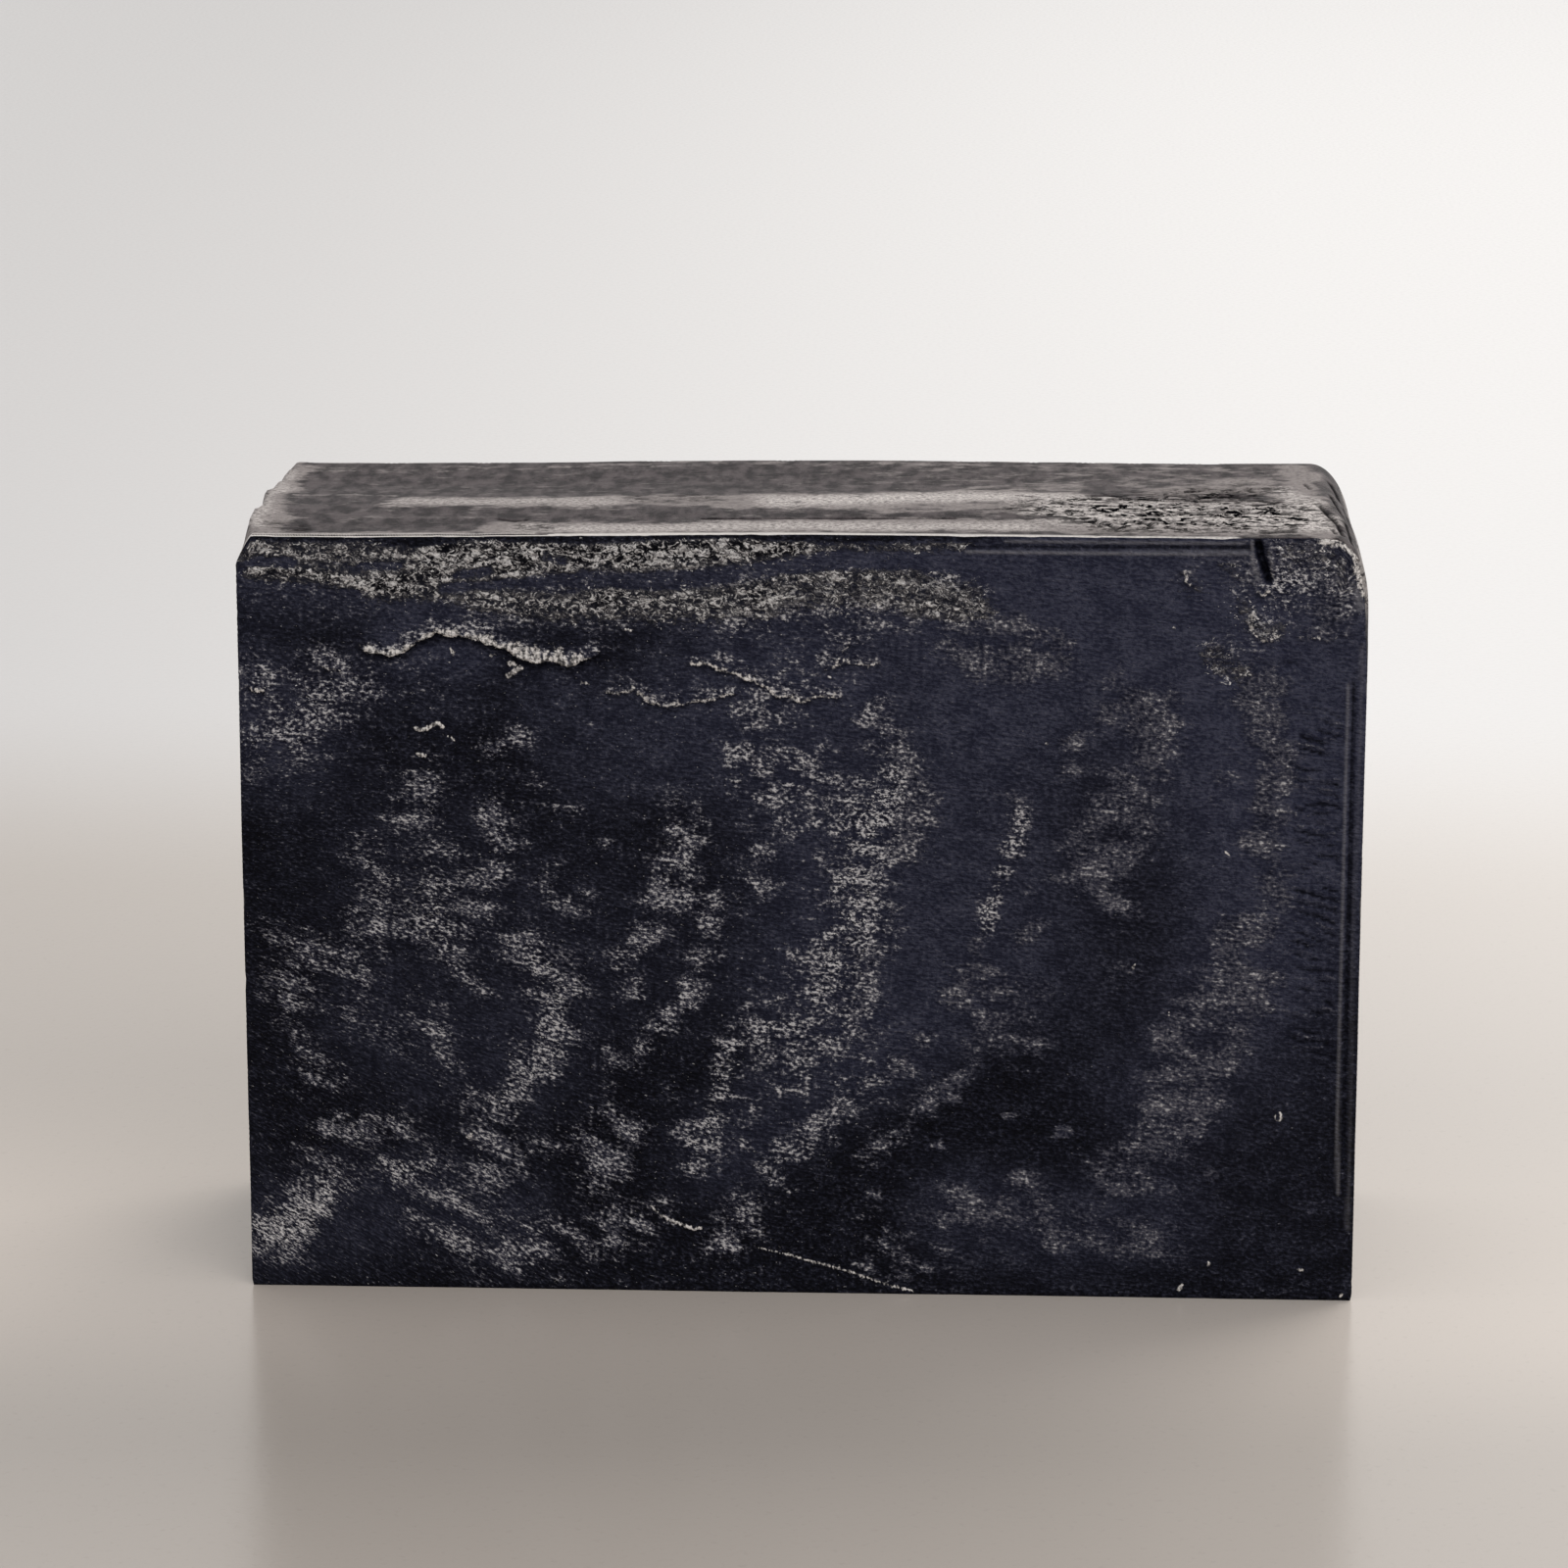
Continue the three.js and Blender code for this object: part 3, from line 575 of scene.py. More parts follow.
def front_pitch(x, z):
    """Longest edge allowed on the front cut face, near its crust and its tears."""
    crusty = painted(x, z, CRUST, 0.2, 1.5) > 0.3
    marked = (x > END_RIDGE_X - 0.6) & (z > END_MARK_SPAN[0]) & (z < END_MARK_SPAN[1])
    marked |= (z > TOP_RIDGE_Z - 0.4) & (x > TOP_MARK_SPAN[0]) & (x < TOP_MARK_SPAN[1])
    marked |= (x > SERRATION_SPAN[0]) & (z > SERRATION_FINE[0]) & (z < SERRATION_FINE[1])
    pitch = np.where(crusty, CRUST_PITCH, np.where(marked, MARK_PITCH, 9.0))
    tears = [(radius + 0.45, 1.0, points) for radius, _, points in RIDGE + NOTCH + LIPS + SLITS]
    burrs = [(radius + 0.25, 1.0, points) for radius, _, points in BURRS]
    torn = painted(x, z, tears + burrs, inner=0.99, outer=1.0) > 0.5
    return np.where(torn, TEAR_PITCH, pitch)


def refined(points, faces, sides):
    """Splits the longest edges of triangles until every edge is as short as wanted."""
    for _ in range(REFINE_ROUNDS):
        edges = np.sort(faces[:, [[0, 1], [1, 2], [2, 0]]], axis=2).reshape(-1, 2)
        unique, edge_of = np.unique(edges, axis=0, return_inverse=True)
        edge_of = edge_of.reshape(-1, 3)
        middles = points[unique].mean(axis=1)
        lengths = np.linalg.norm(points[unique[:, 0]] - points[unique[:, 1]], axis=1)
        split = lengths > wanted_pitch(middles)
        if not split.any():
            break
        longest = lengths[edge_of].argmax(1)
        rows = np.arange(len(faces))
        while True:  # a triangle with any split edge splits its longest edge too
            touched = split[edge_of].any(1) & ~split[edge_of[rows, longest]]
            if not touched.any():
                break
            split[edge_of[rows[touched], longest[touched]]] = True
        middle_of = np.full(len(unique), -1)
        middle_of[split] = len(points) + np.arange(split.sum())
        points = np.vstack([points, middles[split]])
        faces, sides = split_faces(faces, sides, middle_of[edge_of], longest)
    return points, faces, sides


def split_faces(faces, sides, middles, longest):
    """Two to four triangles for each that has split edges, with its longest edge split first."""
    turn = (longest[:, None] + np.arange(3)) % 3
    a, b, c = np.take_along_axis(faces, turn, 1).T
    ab, bc, ca = np.take_along_axis(middles, turn, 1).T
    whole, with_bc, with_ca = ab < 0, bc >= 0, ca >= 0
    half_b, half_a = ~whole & ~with_bc, ~whole & ~with_ca
    parts = [
        (whole, (a, b, c)),
        (half_a, (a, ab, c)), (~whole & with_ca, (a, ab, ca)), (~whole & with_ca, (ca, ab, c)),
        (half_b, (ab, b, c)), (~whole & with_bc, (ab, b, bc)), (~whole & with_bc, (ab, bc, c)),
    ]
    new_faces = np.vstack([np.stack([k[rows] for k in corners], 1) for rows, corners in parts])
    return new_faces, np.concatenate([sides[rows] for rows, _ in parts])


# ---------------------------------------------------------------- the bar's form and relief


def top_rise(x, y):
    """How far the open face lies above the nominal height."""
    ridges = RIDGE_HEIGHT * np.cos(2 * np.pi * (y - RIDGE_OFFSET) / RIDGE_PITCH)
    swell = SWELL_HEIGHT * np.cos(2 * np.pi * x / SWELL_PITCH)
    return TOP_TILT * x / (2 * HALF_LENGTH) + ridges + swell


def squircle(a, b, power):
    """Maps the unit square's far corner onto a rounded one; a and b are 1 on its outer sides."""
    top = np.maximum(a, b)
    norm = (np.abs(a) ** power + np.abs(b) ** power) ** (1 / power)
    scale = np.where(norm > 0, top / np.maximum(norm, 1e-9), 1)
    return a * scale, b * scale


def break_corner(x, z, end, floor, inset, drop, power):
    """Rounds one corner of the slice's outline. end is -1 or 1 for left or right; floor says which."""
    from_end = HALF_LENGTH - end * x
    from_face = z if floor else HEIGHT - z
    inside = (from_end < inset) & (from_face < drop)
    a = np.where(inside, (inset - from_end) / inset, 0)
    b = np.where(inside, (drop - from_face) / drop, 0)
    a, b = squircle(a, b, power)
    new_x = end * (HALF_LENGTH - inset + a * inset)
    new_from = drop - b * drop
    return np.where(inside, new_x, x), np.where(inside, new_from if floor else HEIGHT - new_from, z)


def break_corners(x, y, z):
    """Rounds the four edges that run through the slice's thickness."""
    share = (y + HALF_THICKNESS) / (2 * HALF_THICKNESS)
    rough = CORNER_ROUGHNESS * fractal(y, z * 0, CORNER_PITCH, 3, 11)
    bevel = np.interp(y, BEVEL_STATIONS, BEVEL_INSETS) + rough
    worn_in = WORN_INSETS[0] * (1 - share) + WORN_INSETS[1] * share + rough
    worn_down = WORN_DROPS[0] * (1 - share) + WORN_DROPS[1] * share
    x, z = break_corner(x, z, -1, False, bevel, BEVEL_DROP + rough, BEVEL_POWER)
    x, z = break_corner(x, z, 1, False, worn_in, worn_down, ROUND_POWER)
    for end in (-1, 1):
        radius = FLOOR_RADIUS + 0.12 * fractal(y, z * 0, 3.0, 2, 12 + end)
        x, z = break_corner(x, z, end, True, radius, radius, ROUND_POWER)
    return x, z


def ease_cut_edges(points, x, y, z):
    """A small, uneven radius where the cut faces meet the other four sides."""
    px, py, pz = points.T
    ends, floors = HALF_LENGTH - np.abs(px), np.minimum(pz, HEIGHT - pz)
    outward_x = np.where(ends < floors, np.sign(px), 0)
    outward_z = np.where(ends < floors, 0, np.where(pz > HEIGHT / 2, 1, -1))
    from_outline, from_cut = np.minimum(ends, floors), HALF_THICKNESS - np.abs(py)
    run = np.where(ends < floors, pz, px)
    chips = np.clip(fractal(run, py * 0, CHIP_PITCH, 4, 21) - 0.1, 0, 1)
    radius = CUT_RADIUS + CHIP_RADIUS * chips * np.where(pz > HEIGHT / 2, 1, 0.5)
    radius += WORN_RADIUS * smooth(*WORN_FROM_X, px) * smooth(*WORN_FROM_Z, pz) * (py < 0)
    inside = (from_outline < radius) & (from_cut < radius)
    a = np.where(inside, 1 - from_outline / radius, 0)
    b = np.where(inside, 1 - from_cut / radius, 0)
    a2, b2 = squircle(a, b, ROUND_POWER)
    inward = np.where(inside, (a - a2) * radius, 0)
    back_in = np.where(inside, (b - b2) * radius, 0)
    return x - outward_x * inward, y - np.sign(py) * back_in, z - outward_z * inward


def jagged(x, z):
    """The plane, shaken a little, so that tears follow a jagged path."""
    across = JAG * fractal(x, z, 1.1, 3, 31)
    return x + across, z + JAG * fractal(x, z, 0.9, 3, 35)


def beside_tear(x, z, points, reach):
    """Which places are near a tear, how far above its jagged line they are, and the share of its length."""
    near = near_box(x, z, points, reach)
    distance, side, share = along_line(*jagged(x[near], z[near]), points)
    return near, side * distance, share


def tear_height(x, z, stroke, above, below, reach):
    """A torn flake: raised above its line, and dropping away below it."""
    _, strength, points = stroke
    height = np.zeros(x.shape)
    near, signed, share = beside_tear(x, z, points, 4 * reach)
    ends = smooth(0, 0.08, share) * smooth(1, 0.92, share)
    rise = above * np.exp(-np.abs(signed) / reach) * smooth(-0.1, 0.05, signed)
    fall = below * np.exp(-np.abs(signed) / (1.3 * reach)) * smooth(0.05, -0.1, signed)
    height[near] = strength * ends * (rise - fall)
    return height


def burr_height(x, z, stroke):
    """A thread or crumb that stands on the face, about as high as it is wide."""
    radius, strength, points = stroke
    height = np.zeros(x.shape)
    near = near_box(x, z, points, 2 * radius)
    if near.any():
        distance, _, _ = along_line(x[near], z[near], points)
        round_top = np.sqrt(np.clip(1 - (distance / (1.25 * radius)) ** 2, 0, 1))
        height[near] = 1.1 * radius * strength * round_top
    return height


def crust_share(x, z):
    """How granular the front face is, from 0 to 1, with soft borders."""
    return painted(x, z, CRUST, inner=0.1, outer=1.8) * (1 - crust_gaps(x, z))


def crust_gaps(x, z):
    """Share of the smooth gaps in the crust, from 0 to 1."""
    return painted(x, z, CRUST_GAPS, inner=0.5, outer=1.8)


def crust_mask(x, z):
    """The crust's share with ragged borders, for the relief."""
    share = crust_share(x, z)
    ragged = 0.75 * fractal(x, z * 1.5, 1.5, 3, 41)
    return smooth(0.1, 0.9, share + ragged * smooth(0, 0.3, share))


def hump(offset, height, width):
    """A bell curve of the given height at an offset from its middle."""
    return height * np.exp(-(offset / width) ** 2)


def wire_marks(x, z):
    """Straight grooves and ridges parallel to the right end and to the top edge."""
    sway = 0.1 * np.sin(z / 9)
    up = smooth(END_MARK_SPAN[0], END_MARK_SPAN[0] + 4, z) * smooth(END_MARK_SPAN[1], END_MARK_SPAN[1] - 2, z)
    ridge = hump(x - END_RIDGE_X - sway, *END_RIDGE)
    groove = hump(x - END_GROOVE_X - sway * 0.4, *END_GROOVE)
    low, high = TOP_MARK_SPAN
    across = smooth(low - 4, low + 3, x) * smooth(high + 0.3, high - 0.3, x)
    top_groove = hump(z - TOP_GROOVE_Z, *TOP_GROOVE)
    top_ridge = hump(z - TOP_RIDGE_Z, *TOP_RIDGE)
    return up * (ridge - groove) + across * (top_ridge - top_groove)


def serrations(x, z):
    """Short level ridges beside the right end, where the wire chattered, from -1 to 1."""
    low, high = SERRATION_SPAN
    strength = smooth(low, low + 1.6, x) * smooth(high + 0.3, high - 0.2, x)
    strength = strength * smooth(*SERRATION_FOOT, z) * smooth(*SERRATION_HEAD, z)
    wobble = z + 0.25 * x + 0.5 * fractal(x, z, 2.5, 2, 51)
    broken = smooth(-0.3, 0.3, fractal(x * 0.6, z * 1.2, 1.2, 2, 52))
    return strength * broken * np.sin(2 * np.pi * wobble / SERRATION_PITCH)


def front_relief(x, z):
    """Height of the front cut face above its plane."""
    height = FRONT_WAVES * fractal(x * 0.5, z, 9, 3, 61) + FRONT_GRAIN * fractal(x * 0.4, z * 1.4, 1.4, 3, 62)
    height += crust_mask(x, z) * (CRUST_HEIGHT * fractal(x, z, 0.65, 2, 63) - CRUST_SINK)
    for stroke in RIDGE:
        height += tear_height(x, z, stroke, *FLAKE)
    for stroke in LIPS:
        height += tear_height(x, z, stroke, *LIP)
    distance, side, share = along_line(x, z, RIDGE[0][2])
    crumbly = smooth(1.5, 0.2, distance) * (side > 0) * smooth(0, 0.1, share)
    height += crumbly * CRUMB_HEIGHT * fractal(x, z, 0.5, 3, 64)
    height -= painted(x, z, HOLLOWS) * (HOLLOW_DEPTH + HOLLOW_ROUGHNESS * fractal(x, z, 0.6, 3, 65))
    height -= NOTCH_DEPTH * painted(x, z, NOTCH, inner=0.4, outer=1.35)
    height -= SLIT_DEPTH * painted(x, z, SLITS, inner=0.3, outer=1.4)
    for stroke in BURRS:
        height = np.maximum(height, height + burr_height(x, z, stroke))
    return height + wire_marks(x, z) + SERRATION_HEIGHT * serrations(x, z)


def back_relief(x, z):
    """Height of the back cut face above its plane."""
    waves = BACK_WAVES * fractal(x * 0.5, z, 9, 3, 71) + BACK_GRAIN * fractal(x * 0.4, z * 1.4, 1.8, 3, 72)
    return waves + painted(x, z, back_crust(), 0.5, 1.35) * BACK_CRUST_HEIGHT * fractal(x, z, 0.9, 2, 73)


def back_crust():
    """The strokes of the back face's crust: a little beside the front's, and weaker."""
    return [(radius, 0.8 * strength, np.add(points, BACK_CRUST_SHIFT)) for radius, strength, points in CRUST]


def pit_field(x, y):
    """Pits and rings of the open face's rough end, from 0 to 1."""
    where = painted(x, y, PITTED, 0.4, 1.3)
    cells = fractal(x * 0.75, y, 0.95, 3, 81)
    crinkles = np.sin(2 * np.pi * (y + 0.5 * fractal(x * 0.5, y, 2.4, 2, 82)) / CRINKLE_PITCH)
    out = np.hypot(x - RINGS_AT[0], (y - RINGS_AT[1]) / RING_SQUASH)
    rings = np.cos(2 * np.pi * out / RING_PITCH) * smooth(RINGS_SPAN, RINGS_SPAN - 2.5, out)
    texture = cells + 0.28 * crinkles - 0.35 * rings
    return where * smooth(0.12, 0.42, texture)


def top_relief(x, y):
    """Height of the open face above its smooth form."""
    film = painted(x, y, FILM, 0.7, 1.25)
    soft = 0.05 * fractal(x * 0.4, y, 3, 3, 91)
    cracks = painted(x, y, CRACKS, 0.2, 1.5)
    return soft + FILM_HEIGHT * film - PIT_DEPTH * pit_field(x, y) - CRACK_DEPTH * cracks


def wall_relief(u, z, seed):
    """Height of a moulded side above its plane: nearly flat, with a few small pinholes."""
    return WALL_WAVES * fractal(u, z * 0.4, 7, 3, seed) - PINHOLE_DEPTH * pinhole_field(u, z, seed)


def pinhole_field(u, z, seed):
    """Small round holes in a moulded side, from 0 to 1."""
    return smooth(0.62, 0.8, fractal(u, z, 1.5, 2, seed + 3))


def near_face(distance):
    """Share of a face's relief that its neighbours follow, at a distance from it."""
    return smooth(RELIEF_REACH, 0, distance)


def formed(points):
    """The plain box's points moved onto the bar's surface, in millimetres."""
    px, py, pz = points.T
    x, z = break_corners(px, py, pz)
    x, y, z = ease_cut_edges(points, x, py.copy(), z)
    z = z + top_rise(px, py) * smooth(0, HEIGHT, pz)
    z = z + near_face(HEIGHT - pz) * top_relief(px, py)
    y = y - near_face(py + HALF_THICKNESS) * front_relief(px, pz)
    y = y + near_face(HALF_THICKNESS - py) * back_relief(px, pz)
    x = x - near_face(px + HALF_LENGTH) * wall_relief(py, pz, 101)
    x = x + near_face(HALF_LENGTH - px) * wall_relief(py, pz, 111)
    standing = smooth(0, FLAT_FOOT, pz)
    return np.stack([x, y, np.where(pz <= 0, 0, z * standing + pz * (1 - standing))], 1)


# ---------------------------------------------------------------- what the materials read from the mesh


def drag_coordinates(x, z):
    """Coordinates along and across the marks of the wire, which run down to the right."""
    left, low = np.clip(-x, 0, HALF_LENGTH), np.clip((45 - z) / 45, 0, 1)
    bend = -DRAG_BEND * low * left**2 / (2 * HALF_LENGTH)
    return x, z + DRAG_TILT * x + bend


def front_fields(x, z):
    """Bloom, crust, torn, haze, sparkle and painted highlight shares of the front cut face, less where shade
    is painted.
    """
    torn, shelf, tear_shadow = tear_fields(x, z)
    # painted shadow under the front face's top edge, left of about x = 16
    rim = smooth(*SHADED_EDGE, z + RIM_SWAY * fractal(x, 0 * z, 5.0, 3, 171)) * smooth(18, 14, x)
    # what the painted shadows under the tears and the top edge leave of bloom, crust and haze
    unshaded = (1 - 0.9 * tear_shadow) * (1 - rim)
    clear = 1 - drifted_bloom(x, z)
    clear *= 1 - painted(x, z, BLOOM_SPOTS, 0.6, 1.3)
    clear *= 1 - (SPECKLE_LEFT * smooth(25, -10, x) + SPECKLE_RIGHT)
    chatter = serrations(x, z)
    # painted light and shade of the chattered ridges: paler on their crests, painted shade in their troughs
    clear *= 1 - 0.6 * np.clip(chatter, 0, 1)
    unshaded *= 1 - 0.9 * smooth(-0.1, -0.8, chatter)
    # painted shade in the grooves, the notch and the hollows
    unshaded *= 1 - painted(x, z, PAINTED_SHADE_LINES, 0.6, 1.3)
    bloom = (1 - clear * (1 - np.minimum(1.1 * shelf, 0.9))) * unshaded
    bloom *= 1 - 0.85 * crust_gaps(x, z)
    crust = crust_share(x, z) * unshaded
    haze = np.maximum(painted(x, z, HAZE, 0.2, 1.4), 0.8 * shelf) * unshaded
    torn = np.maximum(torn, painted(x, z, BURRS, 0.6, 1.3))
    torn = np.maximum(torn, painted(x, z, PALE_CORNER_RIM, 0.5, 1.3))
    spark = np.maximum(0.15 + 0.40 * smooth(16, 0, x), painted(x, z, SPARKLING, 0.2, 1.6))
    return bloom, crust, torn, haze, spark, painted(x, z, PAINTED_HIGHLIGHT_LINES, 0.3, 1.5)


def drifted_bloom(x, z):
    """The strokes of bloom, with their paths shaken and their borders spread out."""
    warp_x = x + WARP * fractal(x, z, WARP_PITCH, 3, 141)
    warp_z = z + WARP * fractal(x, z, WARP_PITCH, 3, 151)
    bloom = BLOOM_LEFT + BLOOM_RIGHT
    thinned = [(radius, BLOOM_SHARE * strength, points) for radius, strength, points in bloom]
    return painted(warp_x, warp_z, thinned, 0.0, BLOOM_SPREAD)


def tear_fields(x, z):
    """Round each tear: its pale torn edge, the flake above it and a painted shadow below it."""
    fields = np.zeros((3,) + x.shape)
    for radius, strength, points in RIDGE + LIPS:
        near, signed, share = beside_tear(x, z, points, 3 + radius)
        u, v = x[near], z[near]
        width = 1.2 * radius * (1 + 1.6 * fractal(u, v * 0.5, 0.7, 3, 161))
        width = width * (1 + hump(u - FRAYED_AT, FRAYED_MORE, FRAYED_SPAN))
        ends = strength * smooth(0, 0.1, share) * smooth(1, 0.9, share)
        fade = np.clip(1.25 - np.abs(signed) / np.maximum(1.8 * width, 0.05), 0, 1)
        torn = ends * smooth(-0.10, 0.0, signed) * fade
        shelf = ends * smooth(-0.05, 0.05, signed) * smooth(SHELF_REACH + 1.5 * radius, 0, signed)
        # painted shadow below the raised flake, fading away from its line
        tear_shadow = ends * smooth(0.05, -0.05, signed) * smooth(-2 * radius - 0.5, 0, signed)
        fields[:, near] = np.maximum(fields[:, near], [torn, shelf, tear_shadow])
    return fields


def back_fields(x, z):
    """The same for the back cut face: the same swirl seen from behind, further on through the loaf."""
    dx, dz = BACK_BLOOM_SHIFT
    bloom = drifted_bloom(x - dx, z - dz) * smooth(-0.7, 0.1, fractal(x, z, 7, 2, 121))
    crust = painted(x, z, back_crust(), 0.5, 1.35)
    spark = 0.35 * smooth(-0.2, 0.5, fractal(x, z, 9, 2, 125))
    return bloom, crust, 0 * x, painted(x, z, HAZE), spark, 0 * x


def top_fields(x, y):
    """Film, pits, cracks, thick ash and painted rim highlight shares of the open face."""
    u = x + SMEAR[0] * fractal(x, y, SMEAR_PITCH, 3, 181)
    v = y + SMEAR[1] * fractal(x * 0.6, y, SMEAR_PITCH, 3, 191)
    film = painted(u, v, FILM, 0.5, 1.35) * (1 - 0.8 * painted(u, v, STREAK, 0.4, 1.4))
    where = painted(x, y, PITTED, 0.4, 1.3)
    cracks = np.maximum(painted(x, y, CRACKS, 0.4, 1.4), 0.6 * pit_field(x, y))
    return film, where, cracks, painted(u, v, ASH, 0.2, 1.6), 0 * x, painted(x, y, RIM_HIGHLIGHTS, 0.5, 1.3)


def wall_fields(u, z, seed, rim=0.0):
    """The moulded sides: a patchy film, pinholes, and thick film on the broken edge above the rim."""
    patches = smooth(-0.25, 0.45, fractal(u, z * 0.8, 9, 4, seed) + 0.25 * (z / HEIGHT - 0.5))
    worn = smooth(0, 4.5, z - HEIGHT + rim + 1.6 * fractal(u, z, 4, 3, seed + 5)) if rim else 0 * u
    return np.maximum(0.7 * patches, worn), pinhole_field(u, z, seed), worn, 0 * u, 0 * u, 0 * u


def surface_fields(points, corner_points, corner_sides):
    """The shares that the materials read, and the marks' coordinates, for each face corner."""
    px, py, pz = points[corner_points].T
    fields = np.zeros((len(FIELD_NAMES), len(px)))
    marks = np.zeros((len(px), 3))
    readers = {
        FRONT: (px, pz, front_fields), BACK: (px, pz, back_fields), TOP: (px, py, top_fields),
        LEFT: (py, pz, lambda u, z: wall_fields(u, z, 101, LEFT_RIM)),
        RIGHT: (py, pz, lambda u, z: wall_fields(u, z, 111, RIGHT_RIM)),
        UNDER: (px, py, lambda u, z: wall_fields(u, z, 131)),
    }
    for side, (u, v, read) in readers.items():
        rows = corner_sides == side
        fields[:, rows] = read(u[rows], v[rows])
        along, across = u[rows], v[rows]
        if side in (FRONT, BACK):
            along, across = drag_coordinates(along, across)
        marks[rows] = np.stack([along, across, np.full(along.shape, MARKS_APART * side)], 1)
    return fields, marks


def bar_mesh():
    """The bar as a mesh in metres, with a material slot for each kind of side."""
    points, faces, sides = refined(*plain_box())
    places = formed(points) * MM
    mesh = bpy.data.meshes.new("soap_bar_detailed")
    mesh.vertices.add(len(places))
    mesh.vertices.foreach_set("co", places.ravel())
    mesh.loops.add(faces.size)
    mesh.loops.foreach_set("vertex_index", faces.ravel())
    mesh.polygons.add(len(faces))
    mesh.polygons.foreach_set("loop_start", np.arange(0, faces.size, 3))
    mesh.polygons.foreach_set("material_index", SLOT_OF_SIDE[sides])
    mesh.update(calc_edges=True)
    mesh.polygons.foreach_set("use_smooth", np.ones(len(faces), bool))
    fields, marks = surface_fields(points, faces.ravel(), np.repeat(sides, 3))
    for name, values in zip(FIELD_NAMES, fields):
        mesh.attributes.new(name, "FLOAT", "CORNER").data.foreach_set("value", values)
    mesh.attributes.new(MARKS, "FLOAT_VECTOR", "CORNER").data.foreach_set("vector", marks.ravel())
    mesh.validate()
    return mesh


# ---------------------------------------------------------------- materials


class Shader:
    """A material with a Principled surface, and short ways to add nodes to it."""

    def __init__(self, name):
        self.material = bpy.data.materials.new(name)
        self.material.use_nodes = True
        self.tree = self.material.node_tree
        self.surface = self.tree.nodes["Principled BSDF"]

    def put(self, socket, value):
        """Links a socket to another one, or sets it to a plain value."""
        if isinstance(value, bpy.types.NodeSocket):
            self.tree.links.new(value, socket)
        else:
            socket.default_value = value

    def node(self, kind, output, settings=(), **inputs):
        """Adds a node and returns one of its outputs. Inputs are given by name, with _ for a space."""
        made = self.tree.nodes.new(kind)
        for key, value in dict(settings).items():
            setattr(made, key, value)
        for name, value in inputs.items():
            self.put(made.inputs[name.replace("_", " ")], value)
        return made.outputs[output]

    def math(self, operation, a, b):
        """The result of an operation on two sockets or numbers."""
        made = self.tree.nodes.new("ShaderNodeMath")
        made.operation = operation
        self.put(made.inputs[0], a)
        self.put(made.inputs[1], b)
        return made.outputs[0]

    def times(self, a, b):
        """The product of two sockets or numbers."""
        return self.math("MULTIPLY", a, b)

    def less(self, a, b):
        """The first less the second."""
        return self.math("SUBTRACT", a, b)

    def most(self, a, b):
        """The greater of the two."""
        return self.math("MAXIMUM", a, b)

    def sum(self, *values):
        """The sum of sockets or numbers."""
        total = values[0]
        for value in values[1:]:
            total = self.math("ADD", total, value)
        return total

    def centred(self, value, spread):
        """A noise value moved to either side of zero and widened."""
        return self.times(self.less(value, 0.5), spread)

    def field(self, name):
        """A number stored on the mesh."""
        return self.node("ShaderNodeAttribute", "Fac", {"attribute_name": name})

    def marks(self, along, across):
        """The marks' coordinates, scaled to cells per millimetre."""
        stored = self.node("ShaderNodeAttribute", "Vector", {"attribute_name": MARKS})
        return self.node(
            "ShaderNodeMapping", 0, {"vector_type": "POINT"}, Vector=stored, Scale=(along, across, 1.0),
        )

    def noise(self, vector, detail, roughness, distortion=0.0):
        """Fractal noise from 0 to 1, with cells one unit across."""
        return self.node(
            "ShaderNodeTexNoise", 0, Vector=vector, Scale=1.0, Detail=detail, Roughness=roughness,
            Distortion=distortion,
        )

    def step(self, value, low, high, start=0.0, end=1.0):
        """A smooth step from start to end as value goes from low to high."""
        return self.node(
            "ShaderNodeMapRange", 0, {"interpolation_type": "SMOOTHSTEP"},
            Value=value, From_Min=low, From_Max=high, To_Min=start, To_Max=end,
        )

    def mix(self, share, a, b):
        """A mix of two colours, each a socket or red, green and blue."""
        made = self.tree.nodes.new("ShaderNodeMix")
        made.data_type = "RGBA"
        self.put(made.inputs["Factor"], share)
        for socket, colour in ((made.inputs[6], a), (made.inputs[7], b)):
            self.put(socket, (*colour, 1) if isinstance(colour, tuple) else colour)
        return made.outputs[2]

    def tones(self, level):
        """The soap's tones, from bare navy soap to thick bloom, in even steps of lightness."""
        made = self.tree.nodes.new("ShaderNodeValToRGB")
        ramp = made.color_ramp
        ramp.elements[0].color, ramp.elements[1].color = TONES[0], TONES[-1]
        for i, tone in enumerate(TONES[1:-1], 1):
            ramp.elements.new(i / (len(TONES) - 1)).color = tone
        self.put(made.inputs["Fac"], level)
        return made.outputs["Color"]

    def bump(self, height, distance, strength):
        """A normal for relief finer than the mesh, its distance in millimetres."""
        return self.node("ShaderNodeBump", 0, Height=height, Distance=distance * MM, Strength=strength)

    def finish(self, specular, **sockets):
        """Links or sets the surface's sockets."""
        self.put(self.surface.inputs["Specular IOR Level"], specular)
        for name, value in sockets.items():
            self.put(self.surface.inputs[name.replace("_", " ")], value)
        return self.material


